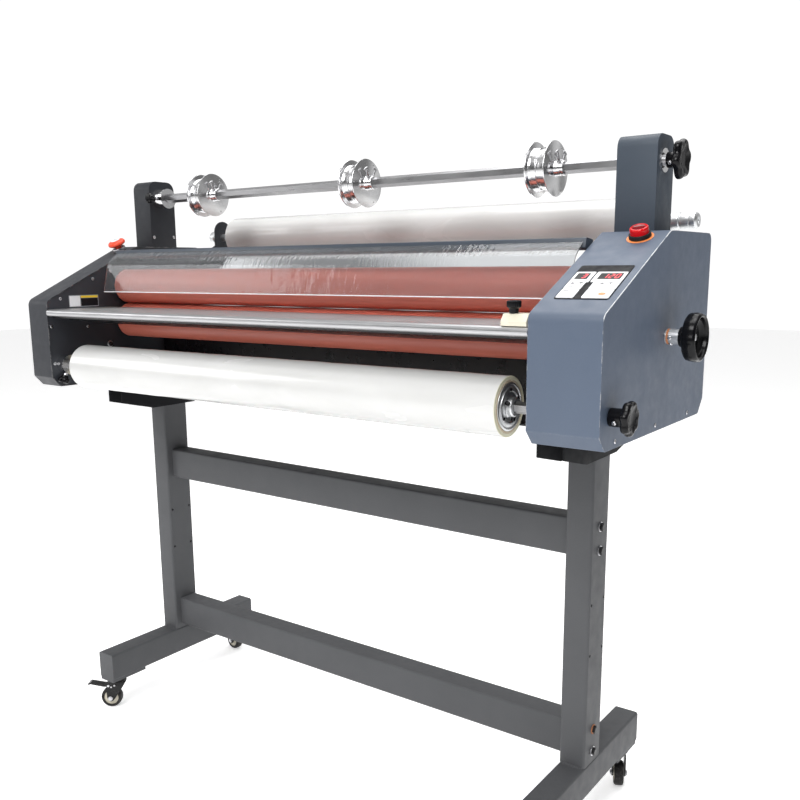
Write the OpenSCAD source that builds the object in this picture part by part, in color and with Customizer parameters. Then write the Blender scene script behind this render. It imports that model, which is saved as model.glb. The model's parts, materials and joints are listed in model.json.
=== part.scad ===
// Wide-format roll laminator on a castor stand, in millimetres.
// +X runs along the rollers to the operator's right, +Y from the feed side to the back, +Z up.
// The dimensions below are measured from the floor, from the cabinets' front faces and from the
// middle of the working width. place() then shifts the whole machine so that the origin is on
// the floor under the middle of its bounding box.

/* [Stand] */
// Height of the feet's undersides above the floor
caster_h = 75; // [70:1:90]
// Width of the square tube along X
tube_w = 50; // [40:1:60]
// Height of the square tube, and the posts' depth
tube_h = 70; // [60:1:80]
// Wall of the stand's tubes
tube_wall = 2.5; // [2:0.5:4]
// X of the middle of each leg
leg_x = 561; // [540:1:561]
// Y of the front end of the feet
foot_front = 62; // [30:1:80]
// Y of the back end of the feet
foot_back = 522; // [480:1:540]
// Y of the posts' front faces
post_front = 259; // [240:1:280]
// Z of the underside of the upper crossbar
upper_bar_z = 542; // [500:1:600]
// Z of the underside of the lower crossbar
lower_bar_z = 154; // [150:1:200]
// Radius of the castor wheels
wheel_r = 25; // [20:1:26]

/* [Cabinets] */
// Clear width between the two cabinets
inner_w = 1180; // [1180:10:1180]
// Width of the right cabinet, which holds the drive
right_cab_w = 114; // [114:1:124]
// Width of the left cabinet
left_cab_w = 70; // [66:1:80]
// Depth of the cabinets
cab_d = 446; // [446:1:450]
// Z of the cabinets' undersides
cab_z0 = 794; // [794:1:794]
// Z of the cabinets' tops
cab_z1 = 1104; // [1104:1:1104]
// Thickness of the cover sheet
sheet_t = 2; // [1.5:0.5:2]
// Thickness of the side plates
plate_t = 6; // [5:0.5:6]
// Z of the top of the two towers
tower_z1 = 1258; // [1250:1:1262]

/* [Rollers] */
// Radius of the silicone rollers
roller_r = 38.8; // [38.2:0.1:38.8]
// Half of the length of the silicone
roller_half = 583; // [560:1:583]
// Y of both roller axes
roller_y = 214; // [214:1:214]
// Z of the lower roller's axis
lower_z = 934; // [934:1:934]
// Distance between the two roller axes when closed
roller_pitch = 78; // [78:1:78]
// Height by which the handwheel lifts the upper roller
lift = 10; // [6:1:10]

/* [Film] */
// Radius of a full film roll
film_r = 47; // [42:1:47]
// Radius of the film rolls' bore
core_r = 37.5; // [37.5:0.5:38.5]
// Width of the film
film_w = 1050; // [1000:10:1050]
// Width across the flats of the hexagonal supply shafts
hex_af = 18; // [16:1:18]
// Radius of the flanges on the top core chucks
chuck_r = 47.5; // [44:0.5:48]

/* [Hidden] */
$fn = 64;

half_w = inner_w / 2;
right_out = half_w + right_cab_w;
left_out = -half_w - left_cab_w;
run = 0.05;                      // radial clearance of a shaft that turns in a hole
screw_head = 1.5;

// Stand
foot_top = caster_h + tube_h;
post_mid_y = post_front + tube_h / 2;
bar_y = post_front + 17;
saddle_t = 3;
saddle_y0 = 140;
saddle_y1 = 442;
saddle_z = 723;                  // underside of the saddle's flanges at the post
saddle_tip_z = 745;              // underside of the flanges at their two ends
bolt_r = 4;
bolt_dz = 22;                    // half of the distance between a crossbar's two bolts
accessory_r = 3;
accessory_dy = 26;
accessory_dz = 48;
accessory_z = 412;
king_r = 5;
pad_t = 6;                       // thickness of the pads under the feet's ends
pad_len = 95;
axle_r = 4;
trail = 15;
brake_x = 19;
brake_z = 57;
front_caster_y = 90;
rear_caster_y = 490;
front_left_turn = 216;
front_right_turn = 240;
rear_left_turn = 172;
rear_right_turn = 296;

// Cabinets: the outline of a cabinet in Y and Z, anticlockwise from the front's lower corner
slope_y = 247;
slope_z0 = 984;
cab_corners = [
    [0, cab_z0 + 22], [20, cab_z0], [cab_d - 22, cab_z0], [cab_d, cab_z0 + 26],
    [cab_d, cab_z1], [slope_y, cab_z1], [0, slope_z0]
];
cab_radii = [4, 4, 4, 4, 14, 26, 18];
slope_a = atan2(cab_z1 - slope_z0, slope_y);
plate_gap = 0.3;                 // between a side plate's edge and the inside of its cover
plate_in = half_w + 1;           // inner face of a side plate
plate_out = plate_in + plate_t;
tower_y0 = 296;
tower_y1 = 371;
tower_right_w = 68;
tower_left_w = 58;

// Rollers, drive and lift
upper_z = lower_z + roller_pitch;
journal_r = 12.5;
gear_m = 3;
gear_teeth = roller_pitch / gear_m;
gear_x = plate_out + 15;
lift_m = 2;
pinion_teeth = 16;
lift_teeth = 36;
hand_y = 248;
hand_z = 941;
lift_y = hand_y + lift_m * (pinion_teeth + lift_teeth) / 2;
lift_r = 8;
cam_r = 22;
cam_e = lift / 2;
cam_gap = 1.6;
block_x = plate_out + 0.5;
block_t = 9;
slot_y0 = roller_y - 24;
slot_y1 = roller_y + 24;

// Feed table, guide and shield
table_y0 = -2;
table_y1 = 165;
table_z0 = 951;
table_z1 = 966;
guide_x = 566;
guide_w = 42;
pivot_y = 212;
pivot_z = 1080;
pivot_r = 2.5;

// Supply shafts
front_y = 36;
front_z = 843;
front_film_x = -507;             // left end of the front film roll
rear_film_x = -530;              // left end of the rear film roll
rear_y = 525;
rear_z = 1130;
top_y = 326;
top_z = 1217;
end_r = 8;                       // radius of the shafts' round ends
rear_r = 9;
socket_r = 23;
lock_r = 4;
lock_tilt = 24;                  // lean of the front lock away from straight down
stud_r = 4.5;                    // stud of the two tension knobs
chuck_x = [-418, 31, 447.5];

// Push buttons on the slopes: how far across, and how far up the slope
left_button = [-626, 258];
right_button = [663, 252];
panel_x = 608;                   // left edge of the label plate
stem_r = 7;
collar_r = 15;

// Handwheel
wheel_rim_r = 39;
hub_in = right_out + 22;         // inner ends of the hubs of the handwheel and the front knob
wheel_out = 760;

mid_x = (wheel_out + left_out - screw_head) / 2;
mid_y = (rear_y + front_y) / 2;

module place() { translate([-mid_x, -mid_y, 0]) children(); }

// ---- shared shapes ----

function unit(v) = v / norm(v);
function turned(v, a) = [v.x * cos(a) - v.y * sin(a), v.x * sin(a) + v.y * cos(a)];
// Points of a rounded corner at p, between its neighbours p0 and p1
function corner(p0, p, p1, r, n) =
    let (a = unit(p0 - p), b = unit(p1 - p), half = acos(a * b) / 2)
    let (c = p + unit(a + b) * r / sin(half), s = p + a * r / tan(half) - c)
    let (e = p + b * r / tan(half) - c, turn = (180 - 2 * half) * sign(cross(s, e)))
    [for (i = [0:n]) c + turned(s, turn * i / n)];
// A corner of an anticlockwise outline, moved inwards by t
function mitre(p0, p, p1, t) =
    let (a = unit(p - p0), b = unit(p1 - p), u = [-a.y, a.x], v = [-b.y, b.x])
    p + t * (u + v) / (1 + u * v);
// An anticlockwise outline with its corners rounded, and inset by t
function outline(p, radii, t = 0, n = 5) =
    let (m = len(p), q = [for (i = [0:m - 1]) mitre(p[(i + m - 1) % m], p[i], p[(i + 1) % m], t)])
    [for (i = [0:m - 1])
        each corner(q[(i + m - 1) % m], q[i], q[(i + 1) % m], max(radii[i] - t, 0.4), n)];
function rect(w, h, r) =
    outline([[-w / 2, -h / 2], [w / 2, -h / 2], [w / 2, h / 2], [-w / 2, h / 2]], [r, r, r, r]);
// Outline of a spur gear of n teeth and module m, with a tooth on the +X side
function gear(n, m) =
    [for (i = [0:n - 1], c = [[-0.29, -1.2], [-0.13, 0.85], [0.13, 0.85], [0.29, -1.2]])
        let (r = m * n / 2 + m * c[1], a = 360 * (i + c[0]) / n) [r * cos(a), r * sin(a)]];

// Extrudes a Y-Z outline along X, from x0 to x1
module along_x(x0, x1) {
    translate([x0, 0, 0]) rotate([90, 0, 90]) linear_extrude(x1 - x0) children();
}
// Extrudes an X-Z outline along Y, from y0 to y1
module along_y(y0, y1) {
    translate([0, y1, 0]) rotate([90, 0, 0]) linear_extrude(y1 - y0) children();
}
// A cylinder along X, from x0 to x1
module rod_x(y, z, r, x0, x1) {
    translate([x0, y, z]) rotate([0, 90, 0]) cylinder(r = r, h = x1 - x0);
}
// A cylinder along Y, from y0 to y1
module rod_y(x, z, r, y0, y1) {
    translate([x, y0, z]) rotate([-90, 0, 0]) cylinder(r = r, h = y1 - y0);
}
// A hexagonal bar along X
module hex_x(y, z, af, x0, x1) {
    translate([x0, y, z]) rotate([0, 90, 0]) cylinder(d = af / cos(30), h = x1 - x0, $fn = 6);
}
// The same thing on the right and, mirrored, on the left
module both_sides() {
    children();
    mirror([1, 0, 0]) children();
}
// The frame of a cabinet's slope: X across, Y up the slope, Z out of it, t from its lower edge
module on_slope(x, t) {
    translate([x, t * cos(slope_a), slope_z0 + t * sin(slope_a)]) rotate([slope_a, 0, 0])
        children();
}
// A knob with a fluted edge, standing on Z = 0
module star_knob(r, h, lobes) {
    cylinder(r = r * 0.8, h = h);
    for (i = [0:lobes - 1]) rotate(360 * i / lobes) translate([r * 0.72, 0, 0])
        cylinder(r = r * 0.28, h = h);
}

// ---- stand ----

// A tube on a thick pad at each end, into which the castors screw
module foot() {
    foot_h = tube_h - pad_t;
    difference() {
        union() {
            translate([0, 0, foot_top - foot_h / 2])
                along_y(foot_front, foot_back) polygon(rect(tube_w, foot_h, 5));
            for (y = [foot_front, foot_back - pad_len])
                translate([-tube_w / 2 + 2, y, caster_h]) cube([tube_w - 4, pad_len, pad_t + 1.5]);
        }
        translate([0, 0, foot_top - foot_h / 2])
            along_y(foot_front + 3, foot_back - 3)
                square([tube_w - 2 * tube_wall, foot_h - 2 * tube_wall], center = true);
        for (y = [front_caster_y, rear_caster_y]) translate([0, y, caster_h - 1])
            cylinder(r = king_r + run, h = pad_t + tube_wall + 2);
    }
}
module left_foot() { color("dimgray") translate([-leg_x, 0, 0]) foot(); }
module right_foot() { color("dimgray") translate([leg_x, 0, 0]) foot(); }

module post() {
    spigot = tube_w - 2 * saddle_t - 1;
    difference() {
        union() {
            translate([0, post_mid_y, foot_top]) linear_extrude(saddle_z - foot_top)
                polygon(rect(tube_w, tube_h, 5));
            translate([0, post_mid_y, saddle_z]) linear_extrude(cab_z0 - saddle_t - saddle_z)
                square([spigot, tube_h - 2], center = true);
        }
        translate([0, post_mid_y, foot_top - 1]) linear_extrude(cab_z0 - foot_top)
            square([spigot - 2 * tube_wall, tube_h - 2 - 2 * tube_wall], center = true);
        for (bar = [upper_bar_z, lower_bar_z], s = [-1, 1])
            rod_x(post_mid_y, bar + tube_h / 2 + s * bolt_dz, bolt_r + 0.5, -tube_w, tube_w);
        for (a = [-1, 1], b = [-1, 1])
            rod_x(post_mid_y + a * accessory_dy, accessory_z + b * accessory_dz, accessory_r,
                  -tube_w, tube_w);
    }
}
module left_post() { color("dimgray") translate([-leg_x, 0, 0]) post(); }
module right_post() { color("dimgray") translate([leg_x, 0, 0]) post(); }

module saddles() {
    flange = [
        [saddle_y0, saddle_tip_z], [post_front - 31, saddle_z],
        [saddle_y0 + saddle_y1 - post_front + 31, saddle_z], [saddle_y1, saddle_tip_z],
        [saddle_y1, cab_z0], [saddle_y0, cab_z0]
    ];
    color("dimgray") both_sides() difference() {
        along_x(leg_x - tube_w / 2, leg_x + tube_w / 2) polygon(flange);
        translate([leg_x - tube_w / 2 + saddle_t, 0, saddle_z - 5])
            cube([tube_w - 2 * saddle_t, 600, cab_z0 - saddle_t - saddle_z + 5]);
    }
}

module crossbars() {
    reach = leg_x - tube_w / 2;
    color("dimgray") for (z = [upper_bar_z, lower_bar_z]) difference() {
        translate([0, bar_y + tube_w / 2, z + tube_h / 2])
            along_x(-reach, reach) polygon(rect(tube_w, tube_h, 5));
        translate([0, bar_y + tube_w / 2, z + tube_h / 2]) along_x(4 - reach, reach - 4)
            square([tube_w - 2 * tube_wall, tube_h - 2 * tube_wall], center = true);
        for (s = [-1, 1])
            rod_x(post_mid_y, z + tube_h / 2 + s * bolt_dz, bolt_r + 0.1, -reach - 1, reach + 1);
    }
}

module stand_bolts() {
    x = leg_x + tube_w / 2;
    color("silver") both_sides() for (bar = [upper_bar_z, lower_bar_z], s = [-1, 1]) {
        z = bar + tube_h / 2 + s * bolt_dz;
        rod_x(post_mid_y, z, 9, x, x + 1.5);
        hex_x(post_mid_y, z, 13, x + 1.5, x + 7);
        rod_x(post_mid_y, z, bolt_r, x - tube_w - 12, x + 1.5);
    }
}

// ---- castors: in their own frame the wheel trails along +X of the swivel ----

module at_caster(x, y, turn) { translate([x, y, 0]) rotate(turn) children(); }

module fork() {
    cheek = [
        [-14, 66], [19, 66], [25, 50], [trail + 7.5, wheel_r], [trail, wheel_r - 9],
        [trail - 7.5, wheel_r], [5, 46], [-14, 60]
    ];
    color([0.1, 0.1, 0.1]) {
        translate([2, 0, 66]) cylinder(r = 19, h = caster_h - 66.3);
        translate([0, 0, 66]) cylinder(r = king_r, h = caster_h - 56);
        for (s = [-1, 1]) translate([0, s * 12.5, 0]) along_y(-1.25, 1.25)
            polygon(outline(cheek, [2, 2, 6, 6, 6, 6, 6, 3]));
        rod_y(trail, wheel_r, axle_r, -12.5, 12.5);
        for (y = [-17, 13.5]) rod_y(trail, wheel_r, 6, y, y + 3.5);
    }
}
module caster_wheel() {
    color([0.15, 0.15, 0.15]) translate([trail, 0, wheel_r]) rotate([90, 0, 0])
        rotate_extrude() polygon([
            [axle_r + run, -9.5], [9, -9.5], [9, -6], [17, -6], [17, -10], [wheel_r - 3, -10],
            [wheel_r, -7], [wheel_r, 7], [wheel_r - 3, 10], [17, 10], [17, 6], [9, 6], [9, 9.5],
            [axle_r + run, 9.5]
        ]);
}
module brake() {
    color([0.2, 0.2, 0.2]) difference() {
        union() {
            along_y(-9.5, 9.5)
                polygon([[19, 54], [32, 52], [66, 60], [70, 57], [71, 60], [66, 64], [32, 57],
                         [19, 60]]);
            rod_y(brake_x, brake_z, 5, -9.5, 9.5);
        }
        rod_y(brake_x, brake_z, 2 + run, -11, 11);
    }
}
module brake_pin() { color([0.1, 0.1, 0.1]) rod_y(brake_x, brake_z, 2, -13, 13); }

module front_left_fork() {
    at_caster(-leg_x, front_caster_y, front_left_turn) {
        fork();
        brake_pin();
    }
}
module front_right_fork() {
    at_caster(leg_x, front_caster_y, front_right_turn) {
        fork();
        brake_pin();
    }
}
module rear_left_fork() { at_caster(-leg_x, rear_caster_y, rear_left_turn) fork(); }
module rear_right_fork() { at_caster(leg_x, rear_caster_y, rear_right_turn) fork(); }
module front_left_wheel() { at_caster(-leg_x, front_caster_y, front_left_turn) caster_wheel(); }
module front_right_wheel() { at_caster(leg_x, front_caster_y, front_right_turn) caster_wheel(); }
module rear_left_wheel() { at_caster(-leg_x, rear_caster_y, rear_left_turn) caster_wheel(); }
module rear_right_wheel() { at_caster(leg_x, rear_caster_y, rear_right_turn) caster_wheel(); }
module left_brake() { at_caster(-leg_x, front_caster_y, front_left_turn) brake(); }
module right_brake() { at_caster(leg_x, front_caster_y, front_right_turn) brake(); }

// ---- cabinets and towers ----

// A bent sheet cover, open towards the middle of the machine
module cover(w) {
    difference() {
        along_x(half_w, half_w + w) polygon(outline(cab_corners, cab_radii));
        along_x(half_w - 1, half_w + w - sheet_t)
            polygon(outline(cab_corners, cab_radii, sheet_t));
        translate([half_w + 12, tower_y0 + 12, cab_z1 - 5]) cube([30, 50, 10]);
    }
}
module left_cover() {
    color([0.27, 0.29, 0.33]) difference() {
        mirror([1, 0, 0]) cover(left_cab_w);
        on_slope(left_button[0], left_button[1]) translate([0, 0, -5]) cylinder(r = 11.1, h = 10);
    }
}
module right_cover() {
    color([0.27, 0.31, 0.38]) difference() {
        cover(right_cab_w);
        on_slope(right_button[0], right_button[1]) translate([0, 0, -5]) cylinder(r = 11.1, h = 10);
        rod_x(hand_y, hand_z, lift_r + run, right_out - 5, right_out + 5);
        rod_x(front_y, front_z, 6 + run, right_out - 5, right_out + 5);
        translate([640, cab_d - 5, 846]) cube([48, 10, 28]);
    }
}

// The plates that carry both rollers; they close the covers' open sides
module side_plate() {
    difference() {
        along_x(plate_in, plate_out)
            polygon(outline(cab_corners, cab_radii, sheet_t + plate_gap));
        rod_x(roller_y, lower_z, journal_r + 1.5, half_w, plate_out + 1);
        translate([half_w, slot_y0, upper_z - 27]) cube([20, slot_y1 - slot_y0, 65]);
        rod_x(lift_y, hand_z, lift_r + run, half_w, plate_out + 1);
        rod_x(pivot_y, pivot_z, pivot_r + run, half_w, plate_out + 1);
    }
}
module left_side_plate() { color([0.25, 0.27, 0.3]) mirror([1, 0, 0]) side_plate(); }
module right_side_plate() {
    color([0.25, 0.27, 0.3]) difference() {
        side_plate();
        rod_x(front_y, front_z, end_r + run, half_w, plate_out + 1);
    }
}

module tower(w) {
    corners = [[tower_y0, cab_z1], [tower_y1, cab_z1], [tower_y1, tower_z1], [tower_y0, tower_z1]];
    radii = [0.5, 0.5, 20, 20];
    difference() {
        along_x(half_w, half_w + w) polygon(outline(corners, radii));
        along_x(half_w + sheet_t, half_w + w - sheet_t)
            polygon(outline(corners, radii, sheet_t));
        translate([half_w + 8, tower_y0 + 8, cab_z1 - 5]) cube([w - 16, 59, 10]);
    }
}
module left_tower() { color([0.24, 0.26, 0.29]) mirror([1, 0, 0]) tower(tower_left_w); }
module right_tower() {
    color([0.26, 0.3, 0.35]) difference() {
        tower(tower_right_w);
        rod_x(top_y, top_z, rear_r + run, half_w - 1, half_w + 70);
    }
}

// The black tray across the bottom of the machine, and the sloping plate under the feed table
module cross_plates() {
    color([0.1, 0.1, 0.11]) {
        translate([-half_w, 145, cab_z0]) cube([inner_w, 290, 3]);
        translate([-plate_in, 316, cab_z0 + 3]) cube([2 * plate_in, 3, 109]);
        translate([-plate_in, 432, cab_z0 + 3]) cube([2 * plate_in, 3, 63]);
        along_x(-plate_in, plate_in)
            polygon([[12, table_z0 - 0.1], [14, table_z0 - 3.5], [160, 927], [160, 930],
                     [24, table_z0 - 0.1]]);
    }
}

module cover_screw(x, y, z, side) {
    translate([x, y, z]) rotate([0, side * 90, 0]) cylinder(r = 3.5, h = screw_head, $fn = 24);
}
module cover_screws() {
    inner = [
        [36, 988], [9, 928], [101, 924], [10, 846], [123, 1030], [172, 1048], [258, 1086],
        [309, 1086], [360, 1086], [404, 1086], [430, 1086]
    ];
    color("lightgray") {
        both_sides() for (p = inner) cover_screw(plate_in, p.x, p.y, -1);
        both_sides() for (p = [[304, 1127], [364, 1128]]) cover_screw(half_w, p.x, p.y, -1);
        for (y = [55, 215, 365]) {
            cover_screw(right_out, y, cab_z0 + 10, 1);
            cover_screw(left_out, y, cab_z0 + 10, -1);
        }
    }
}

// A three-pin appliance inlet in the back of the right cabinet
module power_inlet() {
    color([0.08, 0.08, 0.08]) {
        difference() {
            union() {
                translate([640.5, cab_d - 24, 846.5]) cube([47, 24, 27]);
                translate([636, cab_d, 842]) cube([56, 2.5, 36]);
            }
            translate([651.5, cab_d - 15, 851.5]) cube([25, 20, 17]);
        }
        for (p = [[657, 858], [671, 858], [664, 863]])
            translate([p.x - 1, cab_d - 16, p.y - 2]) cube([2, 9, 4]);
    }
}

// ---- rollers, drive and lift ----

module roller(z, left, right) {
    rod_x(roller_y, z, roller_r, -roller_half, roller_half);
    rod_x(roller_y, z, roller_r - 4, -roller_half - 3, roller_half + 3);
    rod_x(roller_y, z, journal_r, left, right);
}
module lower_roller() { color([0.6, 0.22, 0.18]) roller(lower_z, -614, 670); }
module upper_roller() { color([0.6, 0.22, 0.18]) roller(upper_z, -614, gear_x + 14); }

module roller_gear(z, turn) {
    difference() {
        translate([0, roller_y, z]) along_x(gear_x, gear_x + 12) rotate(turn)
            polygon(gear(gear_teeth, gear_m));
        rod_x(roller_y, z, journal_r, gear_x - 1, gear_x + 13);
    }
}
module lower_gear() { color("gray") roller_gear(lower_z, 90); }
module upper_gear() { color("gray") roller_gear(upper_z, 90 + 180 / gear_teeth); }

module roller_bearings() {
    color("silver") both_sides() difference() {
        rod_x(roller_y, lower_z, 30, plate_out, plate_out + 10);
        rod_x(roller_y, lower_z, journal_r + run, plate_out - 1, plate_out + 11);
    }
}

// The sliding blocks that hold the upper roller, each with an arm over its lifting cam
module roller_blocks() {
    arm_z = hand_z - cam_e + cam_r + cam_gap;
    cheek = [
        [slot_y0 - 8, upper_z - 26], [slot_y1 + 4, upper_z - 36], [lift_y - 24, arm_z],
        [lift_y + 20, arm_z], [lift_y + 20, arm_z + 18], [slot_y1 + 20, upper_z - 20],
        [slot_y1 + 8, upper_z + 26], [slot_y0 - 8, upper_z + 26]
    ];
    color("slategray") both_sides() difference() {
        union() {
            along_x(block_x, block_x + block_t) polygon(cheek);
            translate([plate_in - 0.5, slot_y0 + 0.4, upper_z - 24])
                cube([block_x - plate_in + 1, slot_y1 - slot_y0 - 0.8, 48]);
        }
        rod_x(roller_y, upper_z, journal_r + run, half_w - 1, block_x + block_t + 1);
    }
}

module lift_shaft() {
    color("gray") {
        rod_x(lift_y, hand_z, lift_r, -612, 692);
        both_sides() rod_x(lift_y, hand_z - cam_e, cam_r, block_x + 0.5, block_x + block_t - 0.5);
        translate([0, lift_y, hand_z]) along_x(677, 687) rotate(180 / lift_teeth)
            polygon(gear(lift_teeth, lift_m));
    }
}

// The handwheel's shaft, with its pinion and the clamping collar outside the cover
module pressure_shaft() {
    color("silver") {
        rod_x(hand_y, hand_z, lift_r, 674, hub_in + 12);
        translate([0, hand_y, hand_z]) along_x(677, 687) polygon(gear(pinion_teeth, lift_m));
        rod_x(hand_y, hand_z, 12, right_out + 0.4, hub_in);
    }
}
module handwheel() {
    color([0.06, 0.06, 0.07]) difference() {
        translate([0, hand_y, hand_z]) rotate([0, 90, 0]) {
            translate([0, 0, hub_in]) cylinder(r = 16, h = 18);
            translate([0, 0, wheel_out - 22]) cylinder(r = 33, h = 5);
            rotate_extrude($fn = 96) translate([wheel_rim_r, wheel_out]) polygon([
                [-10, -22], [-5, -24], [-1, -20], [0, -11], [-1, -4], [-4, 0], [-7, -1.5],
                [-9.5, -11]
            ]);
        }
        for (i = [0:7]) translate([0, hand_y, hand_z]) rotate([i * 45, 0, 0])
            rod_x(0, wheel_rim_r + 5, 7, wheel_out - 30, wheel_out + 10);
        rod_x(hand_y, hand_z, lift_r, hub_in - 5, hub_in + 12);
    }
}

// A right-angle gear motor whose hollow output sits on the lower roller's journal
module drive_motor() {
    color([0.35, 0.37, 0.4]) difference() {
        union() {
            translate([630, roller_y - 38, lower_z - 62]) cube([38, 76, 90]);
            rod_y(649, 898, 26, 78, roller_y - 38);
            rod_y(649, 898, 29, 72, 82);
        }
        rod_x(roller_y, lower_z, journal_r + run, 620, 680);
    }
}

// ---- feed side ----

module feed_table() {
    r = (table_z1 - table_z0) / 2;
    nose = [for (i = [0:12]) [table_y0 + r - r * sin(i * 15), table_z0 + r + r * cos(i * 15)]];
    ribs = [for (i = [0:14], p = [[0, 0], [0.8, -1], [2.4, -1], [3.2, 0]])
        [table_y1 - 8 - 9 * i - p.x, table_z1 + p.y]];
    color("silver") {
        along_x(-half_w, half_w)
            polygon(concat([[table_y1, table_z0], [table_y1, table_z1]], ribs, nose));
        translate([-plate_in, 6, table_z0 + 2]) cube([2 * plate_in, 150, 10]);
    }
}

module edge_guide() {
    block = [
        [1, table_z1 + 0.4], [40, table_z1 + 0.4], [40, 984], [9, 984], [1, 973]
    ];
    color("ivory") difference() {
        along_x(guide_x - guide_w / 2, guide_x + guide_w / 2) polygon(block);
        translate([guide_x - 6, 14, 970]) cylinder(r = 3 + run, h = 20);
    }
}
module guide_knob() {
    color([0.07, 0.07, 0.07]) translate([guide_x - 6, 14, 0]) {
        translate([0, 0, 971]) cylinder(r = 3, h = 16);
        translate([0, 0, 984.3]) cylinder(r = 7, h = 8);
        translate([0, 0, 992.3]) linear_extrude(10.5) polygon(gear(20, 1));
    }
}

module shield_bar() {
    section = [
        [188, 1079], [194, 1075], [216, 1075], [220, 1080], [217, 1092], [192, 1095]
    ];
    color([0.4, 0.45, 0.52]) {
        along_x(-half_w + 1.5, half_w - 1.5) polygon(outline(section, [2, 2, 3, 4, 4, 3]));
        both_sides() rod_x(pivot_y, pivot_z, pivot_r, half_w - 3, half_w + 6);
    }
}
module shield() {
    sheet = [
        [189.2, 1085.2], [189.8, 1087.8], [161.5, 1066], [145.5, 1000], [147.9, 999.4], [163.6, 1064.4]
    ];
    color([0.8, 0.85, 0.9, 0.35]) along_x(-half_w + 6, half_w - 6) polygon([
        sheet[0], sheet[1],
        each corner(sheet[1], sheet[2], sheet[3], 24, 8),
        sheet[3], sheet[4],
        each corner(sheet[4], sheet[5], sheet[0], 21.6, 8)
    ]);
}

// ---- supply shafts, chucks and film ----

module front_shaft() {
    color("silver") difference() {
        union() {
            hex_x(front_y, front_z, hex_af - 2, -566, 582);
            rod_x(front_y, front_z, end_r, -587, 688);
        }
        rod_x(front_y, front_z, stud_r + run, 664, 690);
    }
}
// A plug that grips a core, its hub towards +X
module core_plug() {
    difference() {
        union() {
            rod_x(0, 0, core_r, 0, 14);
            rod_x(0, 0, 30, 14, 17);
            rod_x(0, 0, 15, 17, 27);
            for (s = [-1, 1]) translate([22, 0, s * 12]) cylinder(r = 5, h = 12, center = true);
        }
        hex_x(0, 0, hex_af - 2 + 0.1, -1, 28);
    }
}
module front_chucks() {
    color("lightgray") {
        translate([front_film_x + film_w - 16, front_y, front_z]) core_plug();
        translate([front_film_x + 14, front_y, front_z]) mirror([1, 0, 0]) core_plug();
    }
}
module film(y, z, bore, x0, x1) {
    color([0.93, 0.93, 0.92]) difference() {
        rod_x(y, z, film_r, x0, x1);
        rod_x(y, z, bore, x0 - 1, x1 + 1);
    }
}
module front_film() { film(front_y, front_z, core_r, front_film_x, front_film_x + film_w); }
module rear_film() { film(rear_y, rear_z, core_r, rear_film_x, rear_film_x + film_w); }

module rear_shaft() {
    color("silver") {
        rod_x(rear_y, rear_z, rear_r, -600, 600);
        rod_x(rear_y, rear_z, 14, -622, -597);
        rod_x(rear_y, rear_z, 15.5, 600, 655);
        for (x = [rear_film_x - 18, rear_film_x + film_w - 14]) difference() {
            rod_x(rear_y, rear_z, core_r, x, x + 32);
            rod_x(rear_y, rear_z, rear_r, x - 1, x + 33);
        }
    }
}
module rear_brackets() {
    cheek = concat(
        [[400, 1000], [430, 990], [480, 1010], [553, 1100]],
        [for (i = [0:12]) [rear_y + 28 * cos(i * 15), 1143 + 28 * sin(i * 15)]],
        [[497, 1110], [400, 1060]]
    );
    color([0.22, 0.24, 0.27]) both_sides() difference() {
        union() {
            along_x(half_w - 4, half_w) polygon(cheek);
            translate([half_w - 2, 402, 1004]) cube([3, 38, 50]);
        }
        rod_x(rear_y, rear_z, rear_r + run, 580, 600);
    }
}

module top_shaft() {
    color("silver") difference() {
        union() {
            hex_x(top_y, top_z, hex_af, -555, 588);
            rod_x(top_y, top_z, end_r, -584, -550);
            rod_x(top_y, top_z, rear_r, 580, 664);
        }
        rod_x(top_y, top_z, stud_r + run, 646, 680);
    }
}
// A spool with two flanges, a hub and two clamping screws, that slides along the top shaft
module top_chuck(x) {
    color("silver") translate([x, top_y, top_z]) difference() {
        union() {
            for (x = [-19, 16.5]) rod_x(0, 0, chuck_r, x, x + 2.5);
            for (x = [-16.5, 2]) rod_x(0, 0, core_r, x, x + 14.5);
            rod_x(0, 0, core_r - 3, -2, 2);
            rod_x(0, 0, 13, 19, 37);
            for (a = [150, 210]) translate([28, 0, 0]) rotate([a, 0, 0]) {
                cylinder(r = 3, h = 24);
                translate([0, 0, 20]) cylinder(r = 6, h = 9);
            }
        }
        hex_x(0, 0, hex_af + 0.1, -30, 50);
    }
}
module top_chuck_left() { top_chuck(chuck_x[0]); }
module top_chuck_middle() { top_chuck(chuck_x[1]); }
module top_chuck_right() { top_chuck(chuck_x[2]); }

// The middle of the front lock's socket, with -Z along the lock's stem
module at_front_lock() {
    translate([-579, front_y, front_z]) rotate([-lock_tilt, 0, 0]) children();
}
// The sockets that hold two left shaft ends, and the bearing rings of three right shaft ends
module shaft_bearings() {
    color("gainsboro") {
        difference() {
            rod_x(top_y, top_z, socket_r, -half_w, -557);
            rod_x(top_y, top_z, end_r + run, -half_w - 1, -550);
            rod_y(-575, top_z, lock_r + run, 290, top_y);
        }
        difference() {
            rod_x(front_y, front_z, 22, -plate_in, -568);
            rod_x(front_y, front_z, end_r + run, -plate_in - 1, -560);
            at_front_lock() translate([0, 0, -30]) cylinder(r = lock_r + run, h = 30);
        }
        difference() {
            rod_x(top_y, top_z, 19, half_w + tower_right_w, half_w + tower_right_w + 2.5);
            rod_x(top_y, top_z, rear_r + run, 640, 680);
        }
        difference() {
            rod_x(front_y, front_z, 16, plate_out, plate_out + 60);
            rod_x(front_y, front_z, end_r + run, plate_out - 1, plate_out + 61);
        }
        difference() {
            rod_x(hand_y, hand_z, 18, right_out - 14, right_out - sheet_t);
            rod_x(hand_y, hand_z, lift_r + run, right_out - 15, right_out);
        }
    }
}

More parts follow.
